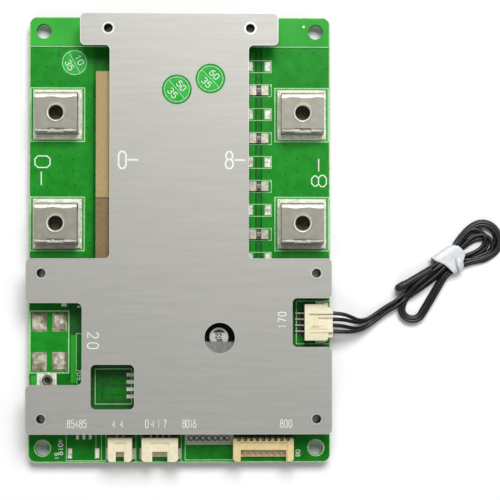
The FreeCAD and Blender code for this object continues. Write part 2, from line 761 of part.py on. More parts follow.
def comb_housing():
    """Nine-pin moulding: its rear is a comb, one slot for each pin's leg."""
    width = (COMB_PINS - 1) * PIN_PITCH + 2 * COMB_END_MARGIN
    shell = housing_shell(width, COMB_H, COMB_WALL, COMB_MOUTH, COMB_MOUTH_L, COMB_CAVITY_H)
    half = PIN_SIDE / 2
    z = comb_pin_axis()
    cuts = []
    for x in pin_xs(COMB_PINS):
        cuts.append(block(x - COMB_SLOT_W / 2, x + COMB_SLOT_W / 2, -COMB_L, 1, -1, COMB_H + 1))
        cuts.append(block(x - half, x + half, -HEADER_REAR_WALL - 1, 1, z - half, z + half))
    shell = shell.cut(Part.makeCompound(cuts))
    tip = COMB_TOOTH_TIP
    edge = block(-width, width, -tip, 1, COMB_H - tip, COMB_H + 1)
    edge.rotate(Vector(0, -tip, COMB_H), Vector(1, 0, 0), -45)
    return shell.cut(edge)


def comb_pin_axis():
    return HEADER_FLOOR + COMB_CAVITY_H / 2


def comb_contact(x):
    half = PIN_SIDE / 2
    z = comb_pin_axis()
    leg_y = -PIN_SIDE
    pin = block(x - half, x + half, -HEADER_REAR_WALL - PIN_REACH, leg_y + half, z - half, z + half)
    leg = block(x - half, x + half, leg_y - half, leg_y + half, -BOARD_T - PIN_BELOW, z + half)
    return pin.fuse(leg).removeSplitter()


def plug_front():
    return -HEADER_REAR_WALL - PLUG_PLAY


def sensor_plug():
    """Plug for the side connector, drawn opening along its own -Y as the housings do."""
    count = len(WIRE_ROUTES)
    half = half_width(count) - HEADER_WALL - PLUG_PLAY
    rear = -HEADER_DEPTH - PLUG_REAR_REACH
    front = plug_front()
    low = HEADER_FLOOR + PLUG_PLAY
    high = HEADER_FLOOR + HEADER_CAVITY_H - PLUG_PLAY
    plug = block(-half, half, rear, front, low, high)
    rib_x = HEADER_4PIN_MOUTH / 2 - PLUG_PLAY - PLUG_RIB_W
    for side in (-1, 1):
        near = side * rib_x
        far = side * (rib_x + PLUG_RIB_W)
        rib = block(min(near, far), max(near, far), rear, -HEADER_DEPTH + HEADER_MOUTH_L - PLUG_PLAY,
                    high - 0.5, high + PLUG_RIB_H)
        plug = plug.fuse(rib)
    plug = plug.removeSplitter()
    z = pin_axis()
    cuts = []
    for x in pin_xs(count):
        cell = PLUG_CELL / 2
        cuts.append(block(x - cell, x + cell, rear + WIRE_BORE_L, front + 1, z - cell, z + cell))
        bore = Part.makeCylinder(WIRE_D / 2 + 0.1, WIRE_BORE_L + 1, Vector(x, rear - 0.5, z),
                                 Vector(0, 1, 0))
        cuts.append(bore)
    return plug.cut(Part.makeCompound(cuts))


def crimp_contact(x):
    """Box contact round one pin, held in its cell of the plug."""
    rear = -HEADER_DEPTH - PLUG_REAR_REACH + WIRE_BORE_L
    front = plug_front() - CRIMP_FRONT_GAP
    half = CRIMP_BOX / 2
    bore = CRIMP_BORE / 2
    z = pin_axis()
    contact = block(x - half, x + half, rear, front, z - half, z + half)
    pin_tip = -HEADER_REAR_WALL - PIN_REACH
    return contact.cut(block(x - bore, x + bore, pin_tip - 0.3, front + 1, z - bore, z + bore))


def wire_setbacks(points):
    """Each arc takes 0.45 of the shorter of its two runs."""
    setbacks = [0.0]
    for i in range(1, len(points) - 1):
        shorter = min((points[i] - points[i - 1]).Length, (points[i + 1] - points[i]).Length)
        setbacks.append(0.45 * shorter)
    setbacks.append(0.0)
    return setbacks


def wire_tube(name, route, diameter):
    points = [Vector(*p) for p in route]
    setbacks = wire_setbacks(points)
    radii = [corner(points[i - 1], points[i], points[i + 1], setbacks[i])[3]
             for i in range(1, len(points) - 1)]
    path = rounded_wire(points, setbacks, False)
    start = (points[1] - points[0]).normalize()
    circle = Part.Wire(Part.Circle(points[0], start, diameter / 2).toShape())
    tube = path.makePipeShell([circle], True, True)
    section = math.pi * diameter ** 2 / 4
    print(name, "radii", [round(r, 1) for r in radii], "length", round(path.Length, 1),
          "volume", round(tube.Volume / (section * path.Length), 3))
    return tube


def tie_tunnel(grow):
    """The opening through the tie that the waist of the hank fills."""
    x, y = TIE_CENTRE
    roof = HANK_H + TIE_RISE - TIE_T
    reach = TUNNEL_L / 2 + grow
    tunnel = block(-reach, reach, -TUNNEL_W / 2, TUNNEL_W / 2, TIE_T, roof)
    tunnel.rotate(Vector(0, 0, 0), Vector(0, 0, 1), TIE_ANGLE)
    tunnel.translate(Vector(x, y, 0))
    return tunnel


def bevel_top(shape, size, z):
    """Bevels the edges of the face at height z."""
    rim = [e for e in shape.Edges if abs(e.BoundBox.ZMin - z) < 1e-6]
    return shape.makeChamfer(size, rim)


def hank_tie():
    top = HANK_H + TIE_RISE
    return bevel_top(prism(TIE_OUTLINE, TIE_R, 0, top), TIE_BEVEL, top).cut(tie_tunnel(5))


def sensor_hank():
    """The outer shape of the wound wires, with the two gaps that its loops leave."""
    body = bevel_top(prism(HANK_OUTLINE, HANK_R, 0, HANK_H), HANK_BEVEL, HANK_H)
    for eye in (LOOP_EYE, LENS_EYE):
        body = body.cut(prism(eye, EYE_R, -1, HANK_H + 1))
    tie = prism(TIE_OUTLINE, TIE_R, -1, HANK_H + TIE_RISE)
    waist = tie.common(tie_tunnel(0))
    return body.cut(tie).fuse(waist).removeSplitter()


def sensor_bead(z):
    """Sensor in its shrink sleeve, with a tapered closed end."""
    start = Vector(BEAD_START[0], BEAD_START[1], z)
    end = Vector(BEAD_END[0], BEAD_END[1], z)
    axis = end - start
    bead = Part.makeCylinder(BEAD_D / 2, axis.Length, start, axis)
    tip = [e for e in bead.Edges if e.BoundBox.Center.distanceToPoint(start) < BEAD_D / 4]
    return bead.makeChamfer(BEAD_TIP, tip)


def wire_eyelet():
    """Hollow eyelet soldered through the board, with a rim on its top face."""
    z1 = BOARD_TOP
    bore = EYELET_BORE / 2
    barrel = EYELET_BARREL_D / 2
    rim = EYELET_D / 2
    foot = BOARD_TOP - BOARD_T
    return revolved([(bore, foot), (barrel, foot), (barrel, z1), (rim, z1),
                     (rim, z1 + 0.4 * EYELET_RIM_H), (rim - 0.6, z1 + EYELET_RIM_H),
                     (bore + 0.4, z1 + EYELET_RIM_H), (bore, z1 + 0.5 * EYELET_RIM_H)],
                    eyelet_place())


def leaded_chip(centre, width, length):
    """Moulded chip with a thin skirt of leads all round."""
    body = tapered(centre, width, length, 0.15, BOARD_TOP + 0.15, BOARD_TOP + CHIP_H)
    skirt = slab(centre, width + 2 * CHIP_LEAD_L, length + 2 * CHIP_LEAD_L,
                 BOARD_TOP, BOARD_TOP + CHIP_LEAD_T)
    return body.fuse(skirt).removeSplitter()


def balance_resistors():
    chips = []
    for row in range(BALANCE_ROWS):
        for column in range(BALANCE_COLUMNS):
            x = BALANCE_X + column * BALANCE_PITCH
            y = WIDE_END_Y + BALANCE_ABOVE_END - row * BALANCE_PITCH
            place = (x, y)
            chips.append(slab(place, BALANCE_L, BALANCE_W, BOARD_TOP, BOARD_TOP + BALANCE_T))
    return chips


def heater_pads():
    pads = []
    for across in HEATER_PAD_FROM_EDGE:
        for down in HEATER_PAD_BELOW_NOTCH_TOP:
            place = (-BOARD_W / 2 + across, LEFT_NOTCH_TOP_Y - down)
            pads.append(tapered(place, HEATER_PAD_W, HEATER_PAD_L, HEATER_PAD_H,
                                BOARD_TOP, BOARD_TOP + HEATER_PAD_H))
    return pads


def window_pads():
    x = WINDOW_AT[0] + WINDOW_W / 2 - WINDOW_PAD_FROM_RIGHT
    top = BOARD_TOP + 2 * SOLDER_SKIN
    pads = []
    for i in range(WINDOW_PAD_COUNT):
        y = WINDOW_AT[1] + ((WINDOW_PAD_COUNT - 1) / 2 - i) * WINDOW_PAD_PITCH
        pads.append(tapered((x, y), WINDOW_PAD_W, WINDOW_PAD_L, 0.2, BOARD_TOP, top))
    return pads


def spare_header_pads():
    top = BOARD_TOP + SOLDER_SKIN
    pin_y = comb_rear_y() + 0.4
    tab_y = -BOARD_L / 2 + SPARE_TAB_FROM_END
    pads = [tapered((HEADER_2PIN_X - x, pin_y), 1.0, 2.6, 0.2, BOARD_TOP, top)
            for x in SPARE_PAD_BEFORE_2PIN]
    pads += [tapered((HEADER_2PIN_X - x, tab_y), 1.5, 3.4, 0.2, BOARD_TOP, top)
             for x in SPARE_TAB_BEFORE_2PIN]
    return pads


def group(shapes):
    return Part.makeCompound(shapes)


def connector_nodes():
    surface = {
        "header_2pin": (2, HEADER_2PIN_MOUTH, lambda s: facing_down(s, HEADER_2PIN_X)),
        "header_4pin": (4, HEADER_4PIN_MOUTH, lambda s: facing_down(s, HEADER_4PIN_X)),
        "sensor_header": (len(WIRE_ROUTES), HEADER_4PIN_MOUTH, facing_right),
    }
    nodes = {}
    tabs = []
    for name, (count, mouth, place) in surface.items():
        nodes[name + "_housing"] = place(surface_housing(count, mouth))
        nodes[name + "_contacts"] = group([place(surface_contact(x)) for x in pin_xs(count)])
        tabs += [place(fixing_tab(side, half_width(count))) for side in (-1, 1)]
    nodes["header_fixing_tabs"] = group(tabs)
    nodes["header_9pin_housing"] = facing_down(comb_housing(), COMB_HEADER_X)
    nodes["header_9pin_contacts"] = group([facing_down(comb_contact(x), COMB_HEADER_X)
                                           for x in pin_xs(COMB_PINS)])
    nodes["sensor_plug"] = facing_right(sensor_plug())
    nodes["sensor_plug_contacts"] = group([facing_right(crimp_contact(x))
                                           for x in pin_xs(len(WIRE_ROUTES))])
    return nodes


def power_nodes():
    nodes = {name: screw_terminal(place) for name, place in terminal_places().items()}
    nodes["terminal_solder"] = group([terminal_fillet(p) for p in terminal_places().values()])
    fitted = range(1, SHUNT_PLACES, 2)
    empty = range(0, SHUNT_PLACES, 2)
    nodes["shunt_resistors"] = group([shunt_resistor(shunt_place(i)) for i in fitted])
    nodes["spare_shunt_solder"] = group([pad for i in empty
                                         for pad in spare_shunt_pads(shunt_place(i))])
    charge_x = -TERMINAL_INNER_X + CHARGE_ROW_FROM_TERMINAL
    discharge_x = SHUNT_X - SHUNT_PAD_SPAN / 2 - DISCHARGE_ROW_FROM_SHUNTS
    nodes["charge_transistors"] = group(transistor_row(charge_x, 1))
    nodes["discharge_transistors"] = group(transistor_row(discharge_x, -1))
    x0 = charge_x - SHEET_PAST_TABS
    reach = TRANSISTOR_W / 2 + SHEET_MARGIN
    top = transistor_ys()[0] + reach
    end = transistor_ys()[-1] - reach
    seam = top - SHEET_UPPER_L
    nodes["insulation_sheet_upper"] = heat_sheet(x0, x0 + SHEET_W, seam, top)
    nodes["insulation_sheet_lower"] = heat_sheet(x0, x0 + SHEET_W, end, seam)
    nodes["discharge_heat_sheet"] = heat_sheet(discharge_x - SHEET_W, discharge_x, end, top)
    return nodes


def small_nodes():
    controller_place = (CONTROLLER_X, WIDE_END_Y + CONTROLLER_ABOVE_END)
    monitor_place = (MONITOR_X, WIDE_END_Y + MONITOR_ABOVE_END)
    return {
        "can_capacitor": can_capacitor(),
        "can_capacitor_base": can_capacitor_base(),
        "grey_gap_pad": grey_gap_pad(),
        "microcontroller": leaded_chip(controller_place, CONTROLLER_W, CONTROLLER_W),
        "cell_monitor_chip": leaded_chip(monitor_place, MONITOR_W, MONITOR_W),
        "interface_chips": group([leaded_chip((x, WIDE_END_Y + INTERFACE_ABOVE_END),
                                              INTERFACE_W, INTERFACE_L) for x in INTERFACE_X]),
        "balance_resistors": group(balance_resistors()),
        "heater_pad_solder": group(heater_pads()),
        "wire_eyelet": wire_eyelet(),
        "window_pad_solder": group(window_pads()),
        "spare_header_solder": group(spare_header_pads()),
    }


def cord_nodes():
    nodes = {}
    for i, route in enumerate(WIRE_ROUTES, start=1):
        name = "sensor_wire_" + str(i)
        nodes[name] = wire_tube(name, route, WIRE_D)
    nodes["sensor_hank"] = sensor_hank()
    nodes["hank_tie"] = hank_tie()
    nodes["sensor_bead_1"] = sensor_bead(BEAD_D / 2)
    nodes["sensor_bead_2"] = sensor_bead(BEAD_D * 1.5 + BEAD_GAP)
    return nodes


def all_nodes():
    nodes = {
        "circuit_board": circuit_board(),
        "heat_spreader_plate": heat_spreader_plate(),
        "plate_standoffs": group([standoff(place) for place in standoff_places()]),
        "plate_screws": group([plate_screw(place) for place in standoff_places()]),
    }
    nodes.update(power_nodes())
    nodes.update(connector_nodes())
    nodes.update(small_nodes())
    nodes.update(cord_nodes())
    return nodes


for node, shape in all_nodes().items():
    if not shape.isValid():
        print("not valid:", node)
    shape.exportStep("parts/" + node + ".step")
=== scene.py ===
import random
from math import atan2, copysign, cos, hypot, pi, radians, sin

import bpy
from mathutils import Euler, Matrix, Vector


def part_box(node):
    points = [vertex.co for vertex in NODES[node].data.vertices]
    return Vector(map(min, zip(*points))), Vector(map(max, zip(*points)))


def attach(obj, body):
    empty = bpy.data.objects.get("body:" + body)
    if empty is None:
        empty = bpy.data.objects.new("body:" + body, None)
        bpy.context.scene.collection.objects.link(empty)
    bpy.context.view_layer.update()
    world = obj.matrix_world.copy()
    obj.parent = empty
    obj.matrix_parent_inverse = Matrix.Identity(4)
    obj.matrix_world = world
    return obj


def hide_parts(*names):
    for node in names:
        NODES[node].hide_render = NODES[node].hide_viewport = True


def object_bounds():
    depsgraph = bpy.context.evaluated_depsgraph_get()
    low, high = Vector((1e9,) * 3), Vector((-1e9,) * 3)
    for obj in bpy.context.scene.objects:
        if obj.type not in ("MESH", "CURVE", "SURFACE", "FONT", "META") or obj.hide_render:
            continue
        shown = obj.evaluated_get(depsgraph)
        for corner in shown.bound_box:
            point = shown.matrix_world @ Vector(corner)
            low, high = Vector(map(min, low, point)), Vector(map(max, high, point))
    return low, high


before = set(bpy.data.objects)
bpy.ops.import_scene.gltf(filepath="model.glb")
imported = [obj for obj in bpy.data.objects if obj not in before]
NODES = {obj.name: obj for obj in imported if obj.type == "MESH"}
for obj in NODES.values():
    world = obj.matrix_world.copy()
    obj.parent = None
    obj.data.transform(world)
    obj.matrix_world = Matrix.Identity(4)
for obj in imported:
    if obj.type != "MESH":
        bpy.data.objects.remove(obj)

CAD_BOX = [list(corner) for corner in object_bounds()]
MM = 0.001
TERMINALS = ("terminal_charge_upper", "terminal_charge_lower",
             "terminal_battery_upper", "terminal_battery_lower")


# ---- small helpers
def metres(points):
    return [Vector(p) * MM for p in points]


def middle_of(node):
    """Middle (x, y) of a CAD node's box, in millimetres."""
    low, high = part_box(node)
    return (low.x + high.x) / 2 / MM, (low.y + high.y) / 2 / MM


def top_of(node):
    """Height of a CAD node's highest point, in millimetres."""
    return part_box(node)[1].z / MM


def on_circle(x, y, radius, turn):
    return (x + radius * cos(turn), y + radius * sin(turn))


def turns_of(count):
    return [2 * pi * i / count for i in range(count)]


def link(obj):
    bpy.context.scene.collection.objects.link(obj)
    return obj


def mesh_object(name, vertices, faces, material, smooth=False):
    mesh = bpy.data.meshes.new(name)
    mesh.from_pydata([tuple(v) for v in vertices], [], faces)
    mesh.validate()
    mesh.update()
    for polygon in mesh.polygons:
        polygon.use_smooth = smooth
    obj = link(bpy.data.objects.new(name, mesh))
    mesh.materials.append(material)
    return obj


def body_piece(name, key, vertices, faces, smooth=True):
    """A visible piece on the object's one body, from points in millimetres."""
    obj = mesh_object(name, metres(vertices), faces, MATERIALS[key], smooth)
    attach(obj, "root")
    return obj


def sheet_faces(rows, columns, first=0):
    """Faces of an open grid of points, row after row."""
    faces = []
    for i in range(rows - 1):
        for k in range(columns - 1):
            a, b = first + i * columns + k, first + (i + 1) * columns + k
            faces.append((a, b, b + 1, a + 1))
    return faces


def tube_faces(rings, count):
    """Faces of a closed tube of rings with count points each, and its two flat ends."""
    faces = []
    for k in range(rings - 1):
        for j in range(count):
            n = (j + 1) % count
            faces.append((k * count + j, k * count + n, (k + 1) * count + n, (k + 1) * count + j))
    last = (rings - 1) * count
    return faces + [list(range(count))[::-1], list(range(last, last + count))]


# ---- materials
EVEN = (1.0, 1.0, 1.0)


def srgb(r, g, b):
    """Linear colour from 8-bit display values."""
    out = []
    for c in (r, g, b):
        c = c / 255
        out.append(c / 12.92 if c <= 0.04045 else ((c + 0.055) / 1.055) ** 2.4)
    return tuple(out)


def shader_of(mat):
    return mat.node_tree.nodes["Principled BSDF"]


def set_inputs(node, values):
    for name, value in values.items():
        node.inputs[name].default_value = value


def noise(mat, scale, detail, stretch):
    """Noise over the object's own coordinates; its scale is per millimetre."""
    nodes, links = mat.node_tree.nodes, mat.node_tree.links
    texture = nodes.new("ShaderNodeTexNoise")
    set_inputs(texture, {"Scale": scale, "Detail": detail})
    place = nodes.new("ShaderNodeTexCoord")
    mapping = nodes.new("ShaderNodeMapping")
    set_inputs(mapping, {"Scale": [s / MM for s in stretch]})
    links.new(place.outputs["Object"], mapping.inputs["Vector"])
    links.new(mapping.outputs["Vector"], texture.inputs["Vector"])
    return texture.outputs["Fac"]


def ramp(mat, value, stops):
    nodes, links = mat.node_tree.nodes, mat.node_tree.links
    node = nodes.new("ShaderNodeValToRGB")
    links.new(value, node.inputs["Fac"])
    for element, (position, colour) in zip(node.color_ramp.elements, stops):
        element.position = position
        element.color = (*colour, 1.0)
    return node.outputs["Color"]


def vary_colour(mat, scale, dark, light, detail=4.0, stretch=EVEN, low=0.35, high=0.65):
    """Patches between two 8-bit colours; low and high are where the noise turns into each."""
    colour = ramp(mat, noise(mat, scale, detail, stretch), [(low, srgb(*dark)), (high, srgb(*light))])
    mat.node_tree.links.new(colour, shader_of(mat).inputs["Base Color"])


def vary_roughness(mat, scale, low, high, detail=3.0, stretch=EVEN):
    value = ramp(mat, noise(mat, scale, detail, stretch), [(0.35, (low,) * 3), (0.65, (high,) * 3)])
    mat.node_tree.links.new(value, shader_of(mat).inputs["Roughness"])


def roughen(mat, scale, height_mm, strength=0.5, detail=4.0, stretch=EVEN):
    nodes, links = mat.node_tree.nodes, mat.node_tree.links
    bump = nodes.new("ShaderNodeBump")
    set_inputs(bump, {"Strength": strength, "Distance": height_mm * MM})
    links.new(noise(mat, scale, detail, stretch), bump.inputs["Height"])
    links.new(bump.outputs["Normal"], shader_of(mat).inputs["Normal"])


def finish(name, colour, roughness, metallic=0.0, specular=None, tint=(), gloss=(), bump=(), nodes=""):
    """A Principled material, also put on CAD nodes. tint, gloss and bump hold what vary_colour,
    vary_roughness and roughen take after the material."""
    mat = bpy.data.materials.new(name)
    mat.use_nodes = True
    set_inputs(shader_of(mat), {"Base Color": (*srgb(*colour), 1.0), "Roughness": roughness,
                                "Metallic": metallic})
    if specular is not None:
        set_inputs(shader_of(mat), {"Specular IOR Level": specular})
    for vary, values in ((vary_colour, tint), (vary_roughness, gloss), (roughen, bump)):
        if values:
            vary(mat, *values)
    for node in nodes.split():
        NODES[node].data.materials.clear()
        NODES[node].data.materials.append(mat)
    return mat


MATERIALS = {
    # Board, its mask and what is printed on it, with painted highlight and painted shade
    "board": finish("board_laminate", (14, 112, 20), 0.5, specular=0.15,
        tint=(0.35, (10, 104, 16), (20, 122, 26)), gloss=(1.2, 0.34, 0.5), bump=(6.0, 0.015),
        nodes="circuit_board"),
    "pour": finish("copper_pour", (20, 134, 28), 0.46, specular=0.15,
        tint=(0.25, (15, 130, 24), (26, 143, 34)), gloss=(1.0, 0.38, 0.46), bump=(5.0, 0.01)),
    # Copper under the mask with a painted highlight: a lighter copy of copper_pour
    "pour_highlight": finish("painted_highlight_pour", (42, 164, 46), 0.4, specular=0.2,
        tint=(0.06, (30, 152, 36), (54, 174, 54), 1.0), gloss=(0.2, 0.38, 0.44, 1.0), bump=(5.0, 0.01)),
    # Dark green of the gaps in the mask and of the vias, also used as painted shade round the sensor
    # header's pins
    "gap": finish("mask_gap_and_shade", (10, 66, 18), 0.45, specular=0.1, tint=(1.5, (8, 58, 15), (15, 78, 23)),
        bump=(6.0, 0.01)),
    # Painted shade: darker mask green where the plate's shadow falls
    "shade": finish("painted_mask_shade", (8, 88, 14), 0.5, specular=0.3, tint=(0.6, (6, 80, 12), (12, 98, 18)),
        bump=(6.0, 0.01)),
    "rim": finish("cut_laminate", (150, 205, 120), 0.6, tint=(1.2, (120, 184, 96), (176, 222, 146)),
        bump=(6.0, 0.02)),
    "ink": finish("white_ink", (232, 238, 230), 0.55, tint=(3.0, (214, 226, 212), (240, 244, 238)),
        bump=(9.0, 0.004)),
    "mask_ink": finish("mask_ink", (150, 214, 148), 0.5, tint=(2.0, (120, 196, 120), (172, 224, 168)),
        bump=(9.0, 0.004)),
    # White print darkened as painted shade, for the band along the lower edge
    "band": finish("shaded_white_ink", (170, 184, 162), 0.55, tint=(1.5, (156, 172, 148), (184, 197, 176)),
        bump=(9.0, 0.004)),
    "sticker": finish("sticker_green", (40, 170, 58), 0.5, specular=0.2,
        tint=(0.4, (30, 160, 46), (52, 180, 70)), bump=(3.0, 0.01, 0.4)),
    "margin": finish("sticker_margin", (26, 132, 44), 0.5, specular=0.2,
        tint=(0.4, (20, 122, 36), (34, 144, 54)), bump=(3.0, 0.01, 0.4)),

    # Plate, screws and standoffs, with painted edge highlight and painted shade in the bores
    "plate": finish("anodised_plate", (169, 168, 162), 0.48, 0.6,
        tint=(0.5, (168, 167, 161), (173, 172, 166), 4.0, (0.12, 1.6, 1.0)),
        gloss=(0.9, 0.47, 0.51, 3.0, (0.2, 1.5, 1.0)), bump=(3.0, 0.003, 0.4, 4.0, (0.3, 1.5, 1.0)),
        nodes="heat_spreader_plate"),
    # Painted highlight for edges that catch the light: the plate's top edges and the standoffs' clinched
    # ends
    "edge_highlight": finish("painted_edge_highlight", (202, 202, 196), 0.36, 0.6, gloss=(2.0, 0.32, 0.44), bump=(4.0, 0.01, 0.4)),
    "standoff": finish("standoff_steel", (200, 200, 198), 0.35, 1.0, gloss=(1.5, 0.25, 0.45),
        bump=(3.0, 0.01, 0.4), nodes="plate_standoffs"),
    "screw": finish("screw_steel", (190, 190, 186), 0.32, 1.0, gloss=(2.0, 0.24, 0.42),
        bump=(3.0, 0.01, 0.4), nodes="plate_screws"),
    # Painted shade for the depth of the standoffs' bores and the screw tips inside them
    "bore": finish("bore_dark", (16, 16, 18), 0.6, 0.2, tint=(2.0, (8, 8, 10), (26, 27, 30)),
        bump=(3.0, 0.02)),

    # Terminals and solder, with painted highlights and painted shade
    "terminal": finish("terminal_metal", (147, 145, 131), 0.42, 0.35,
        tint=(0.35, (142, 140, 126), (152, 150, 137)), gloss=(0.6, 0.38, 0.48), bump=(0.8, 0.025),
        nodes=" ".join(TERMINALS)),
    # Painted highlight on the terminals' bends, fronts and collar rims
    "terminal_highlight": finish("painted_terminal_highlight", (222, 219, 205), 0.42, 0.2,
        tint=(0.9, (208, 205, 190), (234, 231, 219)), bump=(1.2, 0.04)),
    # Painted shade for open seams and the joint between the insulation sheets
    "seam_shade": finish("painted_seam_shade", (70, 66, 54), 0.6, tint=(1.5, (52, 49, 40), (104, 99, 82)),
        bump=(3.0, 0.02)),
    "solder": finish("solder", (230, 227, 215), 0.3, 0.1,
        tint=(0.75, (172, 168, 150), (244, 242, 232), 4.0, EVEN, 0.34, 0.56), gloss=(1.2, 0.22, 0.4),
        bump=(1.0, 0.12, 0.7, 2.0), nodes="spare_shunt_solder spare_header_solder wire_eyelet"),
    # Solder drawn lighter as painted light, for the terminals' feet, the window pads, the sensor tabs and
    # the beads
    "lit_solder": finish("painted_lit_solder", (244, 241, 228), 0.28, 0.05,
        tint=(0.7, (222, 218, 201), (252, 250, 240)), gloss=(1.2, 0.22, 0.36), bump=(1.0, 0.14, 0.7, 2.0),
        nodes="terminal_solder window_pad_solder"),
    "lump": finish("lumpy_solder", (208, 203, 184), 0.28, 0.4,
        tint=(0.42, (150, 142, 118), (232, 227, 208), 3.0, EVEN, 0.4, 0.6), gloss=(0.8, 0.2, 0.42),
        bump=(0.45, 0.45, 0.8, 2.0), nodes="heater_pad_solder"),
    # Painted shade in dark brown, seen down the terminals' holes and round the eyelet's mouth
    "dark_shade": finish("painted_brown_shade", (96, 90, 66), 0.5, tint=(0.8, (80, 74, 54), (116, 110, 84)),
        bump=(1.5, 0.05)),
    # Painted shade in near black: the eyelet's depth, between the sensor header's pins and round the
    # capacitor
    "painted_black_shade": finish("painted_black_shade", (34, 31, 22), 0.5, tint=(0.9, (24, 22, 15), (48, 44, 32)),
        bump=(1.5, 0.05)),

    # Parts on the board
    "shunt": finish("shunt_metal", (186, 182, 168), 0.4, 0.5, tint=(0.9, (166, 162, 146), (202, 198, 185)),
        bump=(3.0, 0.02), nodes="shunt_resistors"),
    "element": finish("shunt_element", (52, 50, 42), 0.45, tint=(1.5, (40, 38, 31), (66, 64, 54)),
        bump=(5.0, 0.01)),
    "moulding": finish("moulding_black", (26, 26, 27), 0.5, tint=(2.0, (20, 20, 21), (34, 34, 35)),
        bump=(8.0, 0.01),
        nodes="charge_transistors discharge_transistors microcontroller cell_monitor_chip "
              "interface_chips balance_resistors can_capacitor_base"),
    "tan": finish("insulation_tan", (166, 146, 98), 0.7, tint=(1.4, (163, 143, 95), (170, 151, 103)),
        bump=(5.0, 0.03), nodes="insulation_sheet_upper discharge_heat_sheet"),
    "brown": finish("insulation_brown", (127, 106, 67), 0.7, tint=(1.4, (121, 100, 61), (133, 112, 73)),
        bump=(5.0, 0.03), nodes="insulation_sheet_lower"),
    "pad": finish("gap_pad_grey", (124, 123, 119), 0.75, tint=(1.2, (114, 113, 109), (134, 134, 129)),
        bump=(4.0, 0.03), nodes="grey_gap_pad"),
    "can": finish("can_aluminium", (206, 207, 204), 0.3, 0.3, gloss=(2.0, 0.24, 0.36),
        bump=(4.0, 0.008, 0.4), nodes="can_capacitor"),
    "cream": finish("header_cream", (230, 222, 190), 0.45, tint=(0.6, (226, 218, 184), (234, 227, 196)),
        bump=(7.0, 0.01), nodes="header_2pin_housing header_4pin_housing sensor_header_housing"),
    "amber": finish("header_tan", (218, 197, 142), 0.45, tint=(0.6, (213, 191, 134), (224, 204, 150)),
        bump=(7.0, 0.01), nodes="header_9pin_housing"),
    "tin": finish("pin_tin", (214, 210, 198), 0.3, 0.7, gloss=(3.0, 0.2, 0.4), bump=(4.0, 0.008, 0.4),
        nodes="header_2pin_contacts header_4pin_contacts header_9pin_contacts "
              "sensor_header_contacts sensor_plug_contacts header_fixing_tabs"),

    # Plug, wires and tie
    "plug": finish("plug_white", (232, 226, 200), 0.42, tint=(0.6, (228, 221, 193), (236, 230, 206)),
        bump=(7.0, 0.01), nodes="sensor_plug"),
    "wire": finish("wire_black", (15, 14, 14), 0.36, tint=(1.3, (10, 10, 10), (21, 20, 19)),
        bump=(2.2, 0.03), nodes="sensor_hank"),
    "sleeve": finish("sleeve_black", (20, 19, 19), 0.48, tint=(1.0, (15, 15, 15), (27, 26, 25)),
        bump=(0.9, 0.12, 0.6), nodes="sensor_bead_1 sensor_bead_2"),
    "tie": finish("tie_white", (214, 217, 219), 0.34, tint=(0.5, (207, 210, 213), (220, 223, 225)),
        bump=(1.5, 0.03, 0.4), nodes="hank_tie"),
}
set_inputs(shader_of(MATERIALS["cream"]), {"Subsurface Weight": 0.08, "Subsurface Scale": 0.001})

PLATE_TOP = top_of("heat_spreader_plate")
BOARD_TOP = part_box("heater_pad_solder")[0].z / MM

# Standoffs of the right half (x, y), and how far the painted shade in their bores reaches
STANDOFFS = ((23.3, 69.0), (45.0, -11.4), (45.0, -59.0))
BORE_REACH = 1.35
BORE_DEPTH = 0.2
SCREW_TIP_DEPTH = 4.0


def paint_bore_shade(node, is_dark):
    """Painted shade for the thread and depth of the standoffs' bores and the screw tips in them: the faces
    inside get a dark colour.
    """
    mesh = NODES[node].data
    mesh.materials.append(MATERIALS["bore"])
    for polygon in mesh.polygons:
        if is_dark(*polygon.center / MM):
            polygon.material_index = 1


def in_bore(x, y, z):
    near = any(hypot(abs(x) - sx, y - sy) < BORE_REACH for sx, sy in STANDOFFS)
    return near and z < PLATE_TOP - BORE_DEPTH


paint_bore_shade("plate_standoffs", in_bore)
paint_bore_shade("plate_screws", lambda x, y, z: z > PLATE_TOP - SCREW_TIP_DEPTH)


# ---- sensor wires
WIRE_D = 1.3

# Points in millimetres, the same as in the part's source: plug to hank
LEADS = (
    ((50.6, -24.6, 7.05), (53.9, -24.75, 6.95), (56.9, -25.85, 5.75), (59.6, -27.1, 4.0),
     (62.4, -26.85, 2.7), (65.4, -24.95, 2.3), (68.78, -22.61, 2.3), (71.9, -20.81, 2.3)),
    ((50.6, -26.6, 7.05), (53.8, -26.65, 6.6), (56.5, -27.2, 4.4), (59.1, -27.85, 2.1),
     (62.1, -27.2, 0.95), (65.2, -25.15, 0.72), (68.78, -22.61, 0.72), (71.9, -20.81, 0.72)),
    ((50.6, -28.6, 7.05), (53.7, -28.75, 6.5), (56.8, -29.55, 4.2), (60.0, -29.85, 1.75),
     (63.1, -28.9, 0.8), (66.2, -26.75, 0.72), (69.58, -23.99, 0.72), (72.7, -22.19, 0.72)),
    ((50.6, -30.6, 7.05), (53.8, -30.8, 6.9), (57.2, -30.85, 5.6), (60.6, -30.2, 3.7),
     (63.6, -28.5, 2.5), (66.3, -26.3, 2.3), (69.58, -23.99, 2.3), (72.7, -22.19, 2.3)),
)

